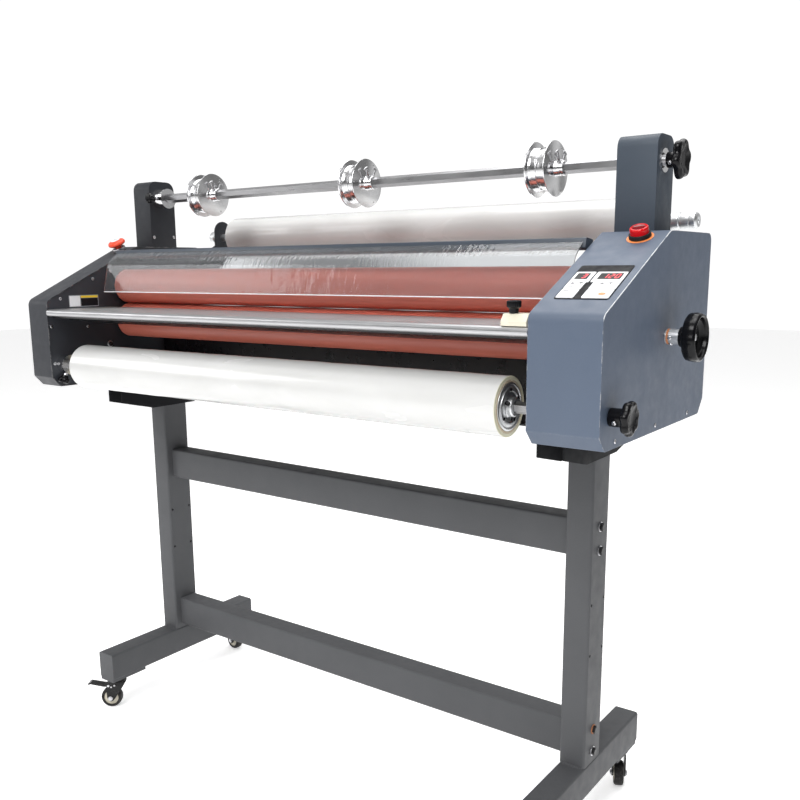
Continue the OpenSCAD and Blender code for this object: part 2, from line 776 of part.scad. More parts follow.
module knob_x(y, z, r, x0, h, lobes) {
    translate([x0, y, z]) rotate([0, 90, 0]) star_knob(r, h, lobes);
}
module front_knob() {
    color([0.06, 0.06, 0.06]) {
        rod_x(front_y, front_z, stud_r, 668, 692);
        rod_x(front_y, front_z, 6, 690, 706);
        rod_x(front_y, front_z, 13.5, right_out + 0.4, hub_in);
        knob_x(front_y, front_z, 26.5, hub_in - 1, 13, 7);
    }
}
module top_knob() {
    color([0.06, 0.06, 0.06]) {
        rod_x(top_y, top_z, stud_r, 650, 670);
        rod_x(top_y, top_z, 12.5, 664.5, 680);
        knob_x(top_y, top_z, 33, 679, 14, 6);
    }
}
module top_lock() {
    color([0.07, 0.07, 0.07]) {
        rod_y(-575, top_z, lock_r, 296, 312);
        translate([-575, 298, top_z]) rotate([90, 0, 0]) star_knob(12, 20, 6);
    }
}
module front_lock() {
    color([0.07, 0.07, 0.07]) at_front_lock() {
        translate([0, 0, -28]) cylinder(r = lock_r, h = 15);
        translate([0, 0, -44]) star_knob(12, 18, 6);
    }
}

// ---- controls ----

module button_collars() {
    for (b = [left_button, right_button]) on_slope(b[0], b[1]) difference() {
        union() {
            if (b == right_button) color("orange") cylinder(r = 21, h = 0.8);
            color("silver") cylinder(r = collar_r, h = 5);
            color("gray") translate([0, 0, -22]) cylinder(r = 11, h = 23);
        }
        translate([0, 0, -23]) cylinder(r = stem_r + run, h = 30);
    }
}
module left_stop_button() {
    color("red") on_slope(left_button[0], left_button[1]) {
        translate([0, 0, -14]) cylinder(r = stem_r, h = 26);
        translate([0, 0, 12]) rotate_extrude() polygon([
            [0, 0], [12, 0], [20, 4], [20.5, 8], [18, 12], [10, 14.5], [0, 15]
        ]);
    }
}
module right_stop_button() {
    color("red") on_slope(right_button[0], right_button[1]) {
        translate([0, 0, -14]) cylinder(r = stem_r, h = 26);
        translate([0, 0, 9.5]) rotate_extrude() polygon([
            [0, 0], [14, 0], [14.5, 1], [14.5, 9], [13, 11], [0, 11]
        ]);
    }
}

// The label plate on the right slope, with its four membrane pads and two displays
module control_panel() {
    color([0.15, 0.16, 0.18]) on_slope(panel_x, 50) cube([82, 106, 0.8]);
    for (p = [[3, 51, 30, 47], [3, 99, 30, 36], [40, 51, 40, 34], [40, 86, 40, 49]])
        color("white") on_slope(panel_x + p[0], p[1]) translate([0, 0, 0.8]) cube([p[2], p[3], 1.2]);
    for (p = [[12, 114, 16], [45, 115, 31]])
        color("maroon") on_slope(panel_x + p[0], p[1]) translate([0, 0, 2]) cube([p[2], 17, 0.8]);
}

place() left_foot();
place() right_foot();
place() left_post();
place() right_post();
place() saddles();
place() crossbars();
place() stand_bolts();
place() left_cover();
place() right_cover();
place() left_side_plate();
place() right_side_plate();
place() left_tower();
place() right_tower();
place() cross_plates();
place() feed_table();
place() roller_bearings();
place() drive_motor();
place() shaft_bearings();
place() rear_brackets();
place() button_collars();
place() control_panel();
place() cover_screws();
place() power_inlet();
place() lower_roller();
place() lower_gear();
place() upper_roller();
place() upper_gear();
place() roller_blocks();
place() lift_shaft();
place() pressure_shaft();
place() handwheel();
place() edge_guide();
place() guide_knob();
place() shield_bar();
place() shield();
place() front_shaft();
place() front_chucks();
place() front_film();
place() front_knob();
place() rear_shaft();
place() rear_film();
place() top_shaft();
place() top_chuck_left();
place() top_chuck_middle();
place() top_chuck_right();
place() top_knob();
place() top_lock();
place() front_lock();
place() left_stop_button();
place() right_stop_button();
place() front_left_fork();
place() front_right_fork();
place() rear_left_fork();
place() rear_right_fork();
place() front_left_wheel();
place() front_right_wheel();
place() rear_left_wheel();
place() rear_right_wheel();
place() left_brake();
place() right_brake();
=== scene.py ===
import bpy, bmesh, json, math, random
from mathutils import Matrix, Vector


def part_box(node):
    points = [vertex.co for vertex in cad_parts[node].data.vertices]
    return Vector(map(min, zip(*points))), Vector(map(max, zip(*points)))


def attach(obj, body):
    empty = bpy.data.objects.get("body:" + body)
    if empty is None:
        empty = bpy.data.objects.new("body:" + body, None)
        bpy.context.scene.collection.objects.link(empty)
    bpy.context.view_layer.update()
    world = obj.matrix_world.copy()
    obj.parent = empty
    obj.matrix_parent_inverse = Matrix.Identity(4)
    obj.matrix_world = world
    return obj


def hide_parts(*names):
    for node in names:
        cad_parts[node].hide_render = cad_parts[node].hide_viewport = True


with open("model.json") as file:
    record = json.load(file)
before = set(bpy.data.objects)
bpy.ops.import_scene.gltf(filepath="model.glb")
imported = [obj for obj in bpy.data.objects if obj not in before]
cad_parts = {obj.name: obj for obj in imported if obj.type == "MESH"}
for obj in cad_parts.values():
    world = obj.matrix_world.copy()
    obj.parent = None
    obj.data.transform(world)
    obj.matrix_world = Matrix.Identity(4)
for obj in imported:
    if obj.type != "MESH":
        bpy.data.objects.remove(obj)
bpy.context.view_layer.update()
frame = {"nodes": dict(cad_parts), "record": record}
nodes = frame["nodes"]
random.seed(7)

MM = 0.001
scene = bpy.context.scene
record = frame["record"]
body_of = {n: b for b, names in record["behaviour"]["bodies"].items() for n in names}
joints = {j["name"]: j for j in record["behaviour"]["joints"]}

# The machine's own frame, in millimetres: X from the middle between the cabinets, Y from their
# front faces, Z from the floor. The right cabinet's lowest corner says where that frame lies.
CABINET_CORNER = Vector((590, 0, 794))
ORIGIN = Vector(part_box("right_cover")[0]) - CABINET_CORNER * MM


def spot(x, y, z):
    """A point of the machine's own frame, in metres of the shared frame."""
    return ORIGIN + Vector((x, y, z)) * MM


def box_mm(node):
    """A CAD node's box in the machine's own frame."""
    lo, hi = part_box(node)
    return (Vector(lo) - ORIGIN) / MM, (Vector(hi) - ORIGIN) / MM


# ------------------------------------------------------------------ camera


def add_camera():
    """The photograph's camera: where it stands, its turn about Z, its tilt, its roll and its lens."""
    yaw, pitch, roll = math.radians(36.09), math.radians(-10.97), math.radians(-0.44)
    forward = Vector((-math.sin(yaw) * math.cos(pitch), math.cos(yaw) * math.cos(pitch), math.sin(pitch)))
    right = Vector((math.cos(yaw), math.sin(yaw), 0))
    up = right.cross(forward)
    right2 = right * math.cos(roll) + up * math.sin(roll)
    up2 = -right * math.sin(roll) + up * math.cos(roll)
    cam = bpy.data.objects.new("camera", bpy.data.cameras.new("camera"))
    scene.collection.objects.link(cam)
    rot = Matrix((right2, up2, -forward)).transposed().to_4x4()
    cam.matrix_world = Matrix.Translation(spot(1188.1, -1130.0, 1050.7)) @ rot
    cam.data.sensor_width = 36.0
    cam.data.lens = 39.9
    cam.data.shift_y = 0.049
    scene.camera = cam
    scene.view_settings.view_transform = "Standard"


add_camera()

# ------------------------------------------------------------------ materials


class Nodes:
    """A short way to write a material's node tree."""

    def __init__(self, name):
        self.mat = bpy.data.materials.new(name)
        self.mat.use_nodes = True
        self.tree = self.mat.node_tree
        self.bsdf = self.tree.nodes["Principled BSDF"]

    def new(self, kind, **inputs):
        node = self.tree.nodes.new(kind)
        for key, value in inputs.items():
            if hasattr(node, key) and not key[0].isupper():
                setattr(node, key, value)
            else:
                self.set(node, key.replace("_", " "), value)
        return node

    def set(self, node, key, value):
        socket = node.inputs[key] if not key.isdigit() else node.inputs[int(key)]
        if isinstance(value, bpy.types.NodeSocket):
            self.tree.links.new(value, socket)
        else:
            socket.default_value = value

    def shader(self, **inputs):
        for key, value in inputs.items():
            self.set(self.bsdf, key.replace("_", " "), value)

    def coords(self, scale=(1, 1, 1)):
        tc = self.new("ShaderNodeTexCoord")
        m = self.new("ShaderNodeMapping", Scale=scale)
        self.tree.links.new(tc.outputs["Object"], m.inputs["Vector"])
        return m.outputs["Vector"]

    def noise(self, scale, detail=3.0, rough=0.55, vector=None, distortion=0.0):
        n = self.new("ShaderNodeTexNoise", Scale=scale, Detail=detail, Roughness=rough, Distortion=distortion)
        if vector is None:
            vector = self.coords()
        self.tree.links.new(vector, n.inputs["Vector"])
        return n.outputs["Fac"]

    def ramp(self, fac, lo, hi, a=0.0, b=1.0):
        """Maps fac from lo..hi to a..b, clamped."""
        r = self.new("ShaderNodeMapRange")
        r.inputs["From Min"].default_value = lo
        r.inputs["From Max"].default_value = hi
        r.inputs["To Min"].default_value = a
        r.inputs["To Max"].default_value = b
        self.tree.links.new(fac, r.inputs["Value"])
        return r.outputs["Result"]

    def mix(self, fac, a, b):
        m = self.new("ShaderNodeMix", data_type="RGBA")
        for i, v in ((0, fac), (6, a), (7, b)):
            if isinstance(v, bpy.types.NodeSocket):
                self.tree.links.new(v, m.inputs[i])
            else:
                m.inputs[i].default_value = v if i == 0 else (*v[:3], 1)
        return m.outputs[2]

    def math(self, op, a, b=0.0):
        m = self.new("ShaderNodeMath", operation=op)
        for i, v in enumerate((a, b)):
            if isinstance(v, bpy.types.NodeSocket):
                self.tree.links.new(v, m.inputs[i])
            else:
                m.inputs[i].default_value = v
        return m.outputs[0]

    def bump(self, height, distance, strength=1.0, normal=None):
        b = self.new("ShaderNodeBump", Distance=distance, Strength=strength)
        self.tree.links.new(height, b.inputs["Height"])
        if normal is not None:
            self.tree.links.new(normal, b.inputs["Normal"])
        return b.outputs["Normal"]


def shade(c, k):
    return tuple(min(1.0, x * k) for x in c[:3])


def powder(name, colour, rough=0.45, grain=900, depth=0.00004, wear=None, blotch=0.12, level=0.4):
    """Powder coat: fine orange peel, faint blotches, and a worn rim where wear gives a colour."""
    n = Nodes(name)
    big = n.noise(6, 4)
    base = n.mix(n.ramp(big, 0.3, 0.7), shade(colour, 1 - blotch), shade(colour, 1 + blotch))
    fine = n.noise(grain, 2, 0.6)
    base = n.mix(n.ramp(fine, 0.35, 0.75, 0, 0.14), base, shade(colour, 1.5))
    if wear:
        bevel = n.new("ShaderNodeBevel", samples=4, Radius=0.0022)
        geo = n.new("ShaderNodeNewGeometry")
        dot = n.new("ShaderNodeVectorMath", operation="DOT_PRODUCT")
        n.tree.links.new(bevel.outputs[0], dot.inputs[0])
        n.tree.links.new(geo.outputs["Normal"], dot.inputs[1])
        edge = n.ramp(dot.outputs["Value"], 0.999, 0.93)
        patch = n.ramp(n.noise(70, 5, 0.7), 0.47, 0.6)
        base = n.mix(n.math("MULTIPLY", edge, patch), base, wear)
    n.shader(Base_Color=base, Roughness=n.ramp(n.noise(45, 5), 0.3, 0.7, rough - 0.07, rough + 0.09))
    n.shader(Normal=n.bump(fine, depth))
    n.bsdf.inputs["Specular IOR Level"].default_value = level
    return n.mat


def metal(name, colour, rough=0.25, grain=(1, 1, 1), grain_scale=900, depth=0.00003, spread=0.1, dirt=0.15):
    """Machined or brushed metal, with its grain drawn out along the axes that have a small factor."""
    n = Nodes(name)
    lines = n.noise(grain_scale, 3, 0.6, n.coords(grain))
    smudge = n.noise(18, 5, 0.6)
    base = n.mix(n.ramp(smudge, 0.35, 0.75, 0, dirt), colour, shade(colour, 0.45))
    n.shader(Base_Color=base, Metallic=1.0)
    r = n.math("ADD", n.ramp(lines, 0.3, 0.7, rough - spread / 2, rough + spread / 2),
               n.ramp(smudge, 0.4, 0.8, 0.0, 0.12))
    n.shader(Roughness=r, Normal=n.bump(lines, depth))
    return n.mat


def plastic(name, colour, rough=0.2, grain=0.0, coat=0.0, dust=0.0, level=0.5):
    n = Nodes(name)
    soft = n.noise(30, 4)
    base = n.mix(n.ramp(soft, 0.35, 0.7), shade(colour, 0.9), shade(colour, 1.1))
    if dust:
        base = n.mix(n.ramp(n.noise(160, 6, 0.7), 0.5, 0.8, 0, dust), base, (0.5, 0.5, 0.48))
    n.shader(Base_Color=base, Roughness=n.ramp(n.noise(60, 5), 0.3, 0.7, rough * 0.8, rough * 1.3))
    n.bsdf.inputs["Coat Weight"].default_value = coat
    n.bsdf.inputs["Coat Roughness"].default_value = 0.06
    n.bsdf.inputs["Specular IOR Level"].default_value = level
    n.shader(Normal=n.bump(n.noise(1100 if grain else 200, 3), grain if grain else 0.00002))
    return n.mat


M = {}
M["right_paint"] = powder("right_paint", (0.086, 0.112, 0.160), wear=(0.42, 0.42, 0.42), blotch=0.05)
M["left_paint"] = powder("left_paint", (0.026, 0.028, 0.034), rough=0.5, wear=(0.2, 0.2, 0.2))
M["tower_paint"] = powder("tower_paint", (0.018, 0.020, 0.025), rough=0.5)
M["plate_paint"] = powder("plate_paint", (0.032, 0.035, 0.042))
M["stand_paint"] = powder("stand_paint", (0.086, 0.088, 0.093), rough=0.5, blotch=0.06, level=0.22)
# A lighter copy of the stand paint for its eased edges: a painted highlight line along them.
M["stand_edge_painted_highlight"] = powder("stand_edge_painted_highlight", (0.28, 0.285, 0.29), rough=0.38)
M["black_paint"] = powder("black_paint", (0.008, 0.008, 0.010), rough=0.3, grain=700)
M["motor_paint"] = powder("motor_paint", (0.10, 0.11, 0.13))
M["aluminium"] = metal("aluminium", (0.50, 0.50, 0.51), 0.33, (0.02, 1, 1))
M["tower_blue"] = powder("tower_blue", (0.044, 0.058, 0.078), rough=0.5, blotch=0.05)
# Near-black paint for the saddles: painted shade, for the shadow the cabinets cast on them.
M["saddle_painted_shade"] = powder("saddle_painted_shade", (0.010, 0.0105, 0.012), rough=0.6, level=0.1)
M["anodised"] = powder("anodised", (0.040, 0.052, 0.070), rough=0.36)
M["steel"] = metal("steel", (0.42, 0.42, 0.43), 0.3, (0.02, 1, 1))
M["polished"] = metal("polished", (0.78, 0.78, 0.79), 0.12, (1, 1, 1), 300, 0.00001)
M["zinc"] = metal("zinc", (0.68, 0.68, 0.70), 0.28, (1, 1, 1), 700)
M["satin"] = metal("satin", (0.74, 0.75, 0.76), 0.36, (1, 1, 1), 600)
M["gear_steel"] = metal("gear_steel", (0.45, 0.45, 0.46), 0.35, (1, 1, 1), 800)
M["knob_black"] = plastic("knob_black", (0.004, 0.004, 0.005), 0.2, level=0.22)
M["matte_black"] = plastic("matte_black", (0.008, 0.008, 0.009), 0.4, grain=0.00004, dust=0.08, level=0.3)
M["tyre"] = plastic("tyre", (0.011, 0.010, 0.010), 0.55, grain=0.00008, dust=0.15, level=0.3)
M["rim"] = plastic("rim", (0.62, 0.58, 0.48), 0.35)
M["ivory"] = plastic("ivory", (0.78, 0.74, 0.60), 0.25)
M["red_button"] = plastic("red_button", (0.85, 0.075, 0.030), 0.3)
M["collar"] = plastic("collar", (0.65, 0.22, 0.02), 0.4)
M["panel"] = plastic("panel", (0.008, 0.008, 0.010), 0.5, level=0.15)


def silicone():
    n = Nodes("silicone")
    along = n.noise(55, 5, 0.6, n.coords((0.05, 1, 1)))
    spots = n.noise(240, 4, 0.65)
    base = n.mix(n.ramp(along, 0.3, 0.72), (0.58, 0.140, 0.095), (0.72, 0.205, 0.145))
    base = n.mix(n.ramp(spots, 0.58, 0.72, 0, 0.35), base, (0.55, 0.2, 0.14))
    n.shader(Base_Color=base, Roughness=n.ramp(spots, 0.3, 0.7, 0.33, 0.48))
    n.shader(Normal=n.bump(n.noise(500, 3), 0.00006))
    return n.mat


def film_white():
    n = Nodes("film_white")
    v = n.coords((0.35, 1, 1))
    folds = n.noise(14, 4, 0.5, v, 0.6)
    base = n.mix(n.ramp(folds, 0.35, 0.65), (0.60, 0.60, 0.59), (0.66, 0.66, 0.65))
    n.shader(Base_Color=base, Roughness=n.ramp(folds, 0.3, 0.7, 0.16, 0.3))
    n.bsdf.inputs["Coat Weight"].default_value = 0.35
    n.bsdf.inputs["Coat Roughness"].default_value = 0.08
    n.bsdf.inputs["Subsurface Weight"].default_value = 0.12
    n.bsdf.inputs["Subsurface Radius"].default_value = (0.01, 0.01, 0.008)
    n.shader(Normal=n.bump(folds, 0.0012, 0.6))
    return n.mat


def acrylic():
    n = Nodes("acrylic")
    n.shader(Base_Color=(0.80, 0.82, 0.84, 1))
    n.bsdf.inputs["Transmission Weight"].default_value = 0.955
    n.bsdf.inputs["IOR"].default_value = 1.28
    scratch = n.noise(160, 5, 0.6, n.coords((0.25, 1, 1)))
    ripple = n.noise(70, 2, 0.5, n.coords((1, 0.4, 0.4)))
    n.shader(Roughness=n.ramp(scratch, 0.45, 0.8, 0.015, 0.12), Normal=n.bump(ripple, 0.0012, 0.8))
    return n.mat


M["silicone"] = silicone()
M["film"] = film_white()
M["acrylic"] = acrylic()

def edge_wear_and_painted_highlight():
    """Paint rubbed pale along a folded edge, in broken patches; the near-white strip is also a painted highlight along
    the bend.
    """
    n = Nodes("edge_wear_and_painted_highlight")
    patch = n.noise(90, 5, 0.7, n.coords((0.6, 0.6, 0.6)))
    base = n.mix(n.ramp(patch, 0.36, 0.5), (0.30, 0.33, 0.38), (0.82, 0.83, 0.84))
    n.shader(Base_Color=base, Roughness=n.ramp(patch, 0.3, 0.7, 0.3, 0.5), Normal=n.bump(patch, 0.0002))
    return n.mat


def glow(name, colour, strength):
    n = Nodes(name)
    fine = n.noise(900, 2)
    n.shader(Base_Color=n.mix(n.ramp(fine, 0.3, 0.7), colour, shade(colour, 0.8)), Roughness=0.35)
    n.shader(Emission_Color=(*colour, 1), Emission_Strength=strength)
    return n.mat


def card():
    """The wound card of a film core, seen end on."""
    n = Nodes("card")
    layers = n.noise(900, 3, 0.6)
    n.shader(Base_Color=n.mix(n.ramp(layers, 0.3, 0.7), (0.46, 0.38, 0.27), (0.66, 0.57, 0.43)), Roughness=0.8)
    n.shader(Normal=n.bump(layers, 0.0002))
    return n.mat


M["slope_edge_wear_and_highlight"] = edge_wear_and_painted_highlight()
M["digits"] = glow("digits", (0.95, 0.05, 0.07), 0.9)
M["card"] = card()
M["film_edge"] = plastic("film_edge", (0.70, 0.68, 0.52), 0.35, grain=0.0001)
# Opaque whitish edge for the clear sheet: a painted highlight along its bottom edge.
M["sheet_edge_painted_highlight"] = plastic("sheet_edge_painted_highlight", (0.86, 0.87, 0.88), 0.3)
M["pad_white"] = plastic("pad_white", (0.80, 0.81, 0.83), 0.35)
M["label_grey"] = plastic("label_grey", (0.30, 0.31, 0.33), 0.4)
M["label_red"] = plastic("label_red", (0.80, 0.03, 0.05), 0.35)
M["label_orange"] = plastic("label_orange", (0.90, 0.27, 0.07), 0.35)
M["clear_red"] = plastic("clear_red", (0.62, 0.003, 0.006), 0.12, level=0.3)
# Darker red for the dished top of the clear red cap: painted shade in its hollow.
M["lens_painted_shade"] = plastic("lens_painted_shade", (0.20, 0.002, 0.004), 0.12, level=0.3)
M["chrome"] = metal("chrome", (0.84, 0.84, 0.85), 0.17, (1, 1, 1), 200, 0.000004, 0.04, 0.05)
M["rust"] = powder("rust", (0.42, 0.17, 0.08), rough=0.75, grain=500, depth=0.0004, blotch=0.4)
M["bolt_dark"] = plastic("bolt_dark", (0.014, 0.014, 0.015), 0.32, level=0.4)
# Black for printed dark marks on the panel label, and painted shade in screw recesses, slots and sockets, which are
# drawn as flat marks, not holes.
M["dark_print_and_recess_shade"] = plastic("dark_print_and_recess_shade", (0.02, 0.02, 0.02), 0.6)

# ------------------------------------------------------------------ mesh building, in millimetres


def lathe(bm, profile, segments=64, look=0, warp=None, closed=False):
    """Turns a profile of (radius, height) about local Z. warp(radius, angle) may reshape it."""
    rings = []
    for r, z in profile:
        if r < 1e-4:
            rings.append([bm.verts.new((0, 0, z))])
            continue
        ring = []
        for i in range(segments):
            a = math.tau * i / segments
            q = warp(r, a) if warp else r
            ring.append(bm.verts.new((q * math.cos(a), q * math.sin(a), z)))
        rings.append(ring)
    pairs = list(zip(rings, rings[1:]))
    if closed:
        pairs.append((rings[-1], rings[0]))
    for lo, hi in pairs:
        for i in range(segments):
            j = (i + 1) % segments
            if len(lo) == 1 and len(hi) == 1:
                continue
            if len(lo) == 1:
                loop = (lo[0], hi[j], hi[i])
            elif len(hi) == 1:
                loop = (lo[i], lo[j], hi[0])
            else:
                loop = (lo[i], lo[j], hi[j], hi[i])
            bm.faces.new(loop).material_index = look


def rounded(points, radius, steps=3, closed=False):
    """The same outline with its corners rounded."""
    out = []
    last = len(points) - 1
    for i, p in enumerate(points):
        if not closed and i in (0, last):
            out.append(tuple(p))
            continue
        p = Vector(p)
        a, b = Vector(points[i - 1]) - p, Vector(points[(i + 1) % len(points)]) - p
        d = min(radius, a.length * 0.49, b.length * 0.49)
        start, end = p + a.normalized() * d, p + b.normalized() * d
        for k in range(steps + 1):
            t = k / steps
            q = start * (1 - t) ** 2 + p * 2 * t * (1 - t) + end * t * t
            out.append((q.x, q.y))
    return out


def prism(bm, outline, z0, z1, look=0):
    """A straight solid over an outline given anticlockwise."""
    low = [bm.verts.new((x, y, z0)) for x, y in outline]
    high = [bm.verts.new((x, y, z1)) for x, y in outline]
    bm.faces.new(low[::-1]).material_index = look
    bm.faces.new(high).material_index = look
    for i in range(len(outline)):
        j = (i + 1) % len(outline)
        bm.faces.new((low[i], low[j], high[j], high[i])).material_index = look


def pad(bm, x, y, w, h, z0, z1, look=0, corner=2.0):
    box = [(x, y), (x + w, y), (x + w, y + h), (x, y + h)]
    prism(bm, rounded(box, corner, 4, closed=True), z0, z1, look)


def soften(bm, width, segments=2, angle=30, look=-1, only=None):
    """Eases the sharp edges."""
    sharp = [e for e in bm.edges if len(e.link_faces) == 2
             and e.calc_face_angle(0) > math.radians(angle) and (only is None or only(e))]
    bmesh.ops.bevel(bm, geom=sharp, offset=width, segments=segments, profile=0.6,
                    affect="EDGES", clamp_overlap=True, material=look)


def moved(bm, matrix, before):
    """Moves what was added to bm after the first `before` vertices."""
    bm.verts.ensure_lookup_table()
    for v in list(bm.verts)[before:]:
        v.co = matrix @ v.co


def added(bm, matrix, make, *args, **kw):
    """Builds something in bm in a frame of its own."""
    before = len(bm.verts)
    make(bm, *args, **kw)
    moved(bm, matrix, before)


def frame_at(x, y, z, x_axis, y_axis, z_axis):
    """From a local frame in millimetres to the shared frame in metres."""
    turn = Matrix((x_axis, y_axis, z_axis)).transposed().to_4x4()
    return Matrix.Translation(spot(x, y, z)) @ turn @ Matrix.Scale(MM, 4)


def along_x(x, y, z, side=1):
    """Local Z along +X, or along -X where side is -1."""
    if side > 0:
        return frame_at(x, y, z, (0, 1, 0), (0, 0, 1), (1, 0, 0))
    return frame_at(x, y, z, (0, -1, 0), (0, 0, 1), (-1, 0, 0))


def upright(x, y, z):
    return frame_at(x, y, z, (1, 0, 0), (0, 1, 0), (0, 0, 1))


def on_slope(x, t):
    """X across, Y up a cabinet's slope, Z out of it."""
    angle = math.atan2(1104 - 984, 247)
    c, s = math.cos(angle), math.sin(angle)
    return frame_at(x, t * c, 984 + t * s, (1, 0, 0), (0, c, s), (0, -s, c))


def piece(name, like, looks, bm, place, replaces=(), angle=32):
    """Makes a mesh object from bm. It rides as the CAD node `like` does."""
    bmesh.ops.remove_doubles(bm, verts=bm.verts, dist=1e-5)
    bmesh.ops.recalc_face_normals(bm, faces=bm.faces)
    bm.transform(place)
    for f in bm.faces:
        f.smooth = True
    for e in bm.edges:
        if len(e.link_faces) != 2 or e.calc_face_angle(0) > math.radians(angle):
            e.smooth = False
    mesh = bpy.data.meshes.new(name)
    bm.to_mesh(mesh)
    bm.free()
    for look in looks:
        mesh.materials.append(M[look])
    obj = bpy.data.objects.new(name, mesh)
    scene.collection.objects.link(obj)
    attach(obj, body_of[like])
    if replaces:
        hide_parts(*replaces)
    return obj


def eased(node, look, width=1.2, edge_look=None, only=None):
    """The CAD node's own shape with its sharp edges eased."""
    bm = bmesh.new()
    bm.from_mesh(nodes[node].data)
    for f in bm.faces:
        f.material_index = 0
    bmesh.ops.remove_doubles(bm, verts=bm.verts, dist=2e-6)
    bmesh.ops.dissolve_limit(bm, angle_limit=math.radians(0.5), verts=bm.verts, edges=bm.edges)
    looks = [look]
    if edge_look:
        looks.append(edge_look)
        soften(bm, width * MM, 2, 40, 1, only)
        soften(bm, 0.5 * MM, 1, 55, 0)
    else:
        soften(bm, width * MM, 2, 40, -1, only)
    return piece(node + "_eased", node, looks, bm, Matrix.Identity(4), (node,))


def islands(node):
    """The boxes of the separate solids of a CAD node, in the machine's own frame."""
    bm = bmesh.new()
    bm.from_mesh(nodes[node].data)
    bmesh.ops.remove_doubles(bm, verts=bm.verts, dist=2e-6)
    seen, out = set(), []
    for v in bm.verts:
        if v in seen:
            continue
        stack, lo, hi = [v], Vector((1e9,) * 3), Vector((-1e9,) * 3)
        seen.add(v)
        while stack:
            w = stack.pop()
            p = (w.co - ORIGIN) / MM
            lo = Vector(map(min, lo, p))
            hi = Vector(map(max, hi, p))
            for e in w.link_edges:
                o = e.other_vert(w)
                if o not in seen:
                    seen.add(o)
                    stack.append(o)
        out.append((lo, hi))
    bm.free()
    return sorted(out, key=lambda b: tuple(round(c, 2) for c in (*b[0], *b[1])))


# ------------------------------------------------------------------ sheet metal and stand

LOOKS = {
    "left_side_plate": "plate_paint", "right_side_plate": "plate_paint",
    "cross_plates": "black_paint", "feed_table": "aluminium", "roller_bearings": "zinc",
    "drive_motor": "motor_paint", "shaft_bearings": "polished", "power_inlet": "matte_black",
    "lower_gear": "gear_steel", "upper_gear": "gear_steel", "roller_blocks": "gear_steel",
    "lift_shaft": "gear_steel", "pressure_shaft": "satin", "front_shaft": "steel",
    "top_shaft": "steel",
}
for name, look in LOOKS.items():
    mesh = nodes[name].data
    mesh.materials.clear()
    mesh.materials.append(M[look])

EASED = {
    "left_foot": "stand_paint", "right_foot": "stand_paint", "left_post": "stand_paint",
    "right_post": "stand_paint", "saddles": "saddle_painted_shade", "crossbars": "stand_paint",
    "left_tower": "tower_paint", "right_tower": "tower_blue", "rear_brackets": "tower_paint",
    "shield_bar": "anodised", "edge_guide": "ivory",
}
# The stand's eased edges take the lighter paint, a painted highlight along them.
for name, look in EASED.items():
    eased(name, look, 0.9, "stand_edge_painted_highlight" if look == "stand_paint" else None)
right_face = box_mm("right_cover")[1].x
left_face = box_mm("left_cover")[0].x


def outer_edge(face):
    """Picks the edges of a cover that lie in its outer face."""
    return lambda e: all(abs((v.co.x - ORIGIN.x) / MM - face) < 0.3 for v in e.verts)


def slope_edge(face):
    """Picks the outer edge of a cover's slope."""
    outer = outer_edge(face)
    return lambda e: outer(e) and all(980 < (v.co.z - ORIGIN.z) / MM < 1106 for v in e.verts) \
        and all((v.co.y - ORIGIN.y) / MM < 262 for v in e.verts)


# The right slope's outer edge takes the pale strip: worn paint and a painted highlight line along the bend.
eased("right_cover", "right_paint", 0.9, "slope_edge_wear_and_highlight", slope_edge(right_face))
eased("left_cover", "left_paint", 1.3, None, outer_edge(left_face))


def weld(bm, points, radius=2.2, pitch=2.5):
    """A weld bead along a line of points, with its ripples."""
    around = 8
    for a, b in zip(points, points[1:]):
        a, b = Vector(a), Vector(b)
        run = (b - a)
        steps = max(2, int(run.length / pitch))
        side = (run.cross(Vector((0, 0, 1))) or Vector((1, 0, 0))).normalized()
        up = side.cross(run).normalized()
        rings = []
        for i in range(steps + 1):
            r = radius * (1 + 0.16 * math.sin(i * 2.4) + 0.1 * random.uniform(-1, 1))
            mid = a + run * i / steps
            turns = [math.tau * k / around for k in range(around)]
            rings.append([bm.verts.new(mid + (side * math.cos(t) + up * math.sin(t)) * r) for t in turns])
        for lo, hi in zip(rings, rings[1:]):
            for k in range(around):
                bm.faces.new((lo[k], lo[(k + 1) % around], hi[(k + 1) % around], hi[k]))
        bm.faces.new(rings[0][::-1])
        bm.faces.new(rings[-1])


for side in ("left", "right"):
    lo, hi = box_mm(side + "_post")
    bm = bmesh.new()
    weld(bm, [(lo.x + 4, lo.y, lo.z), (hi.x - 4, lo.y, lo.z)])
    weld(bm, [(lo.x + 4, hi.y, lo.z), (hi.x - 4, hi.y, lo.z)])
    inner = hi.x if side == "left" else lo.x
    for bar_lo, bar_hi in islands("crossbars"):
        weld(bm, [(inner, bar_lo.y, bar_lo.z + 3), (inner, bar_lo.y, bar_hi.z - 3)], 2.6)
    piece(side + "_post_weld", side + "_post", ["stand_paint"], bm, upright(0, 0, 0))


def hexagon(across):
    r = across / 2 / math.cos(math.radians(30))
    return [(r * math.cos(math.radians(60 * i + 12)), r * math.sin(math.radians(60 * i + 12))) for i in range(6)]


def bolt(bm, washer_look):
    """A bolt's head on its washer, outwards along Z."""
    lathe(bm, rounded([(0, 0), (9, 0), (9, 1.5), (0, 1.5)], 0.4), 40, washer_look)
    prism(bm, hexagon(13), 1.5, 6.0, 0)
    lathe(bm, [(0, 5.9), (6.2, 5.9), (5.4, 6.8), (0, 6.8)], 24, 0)


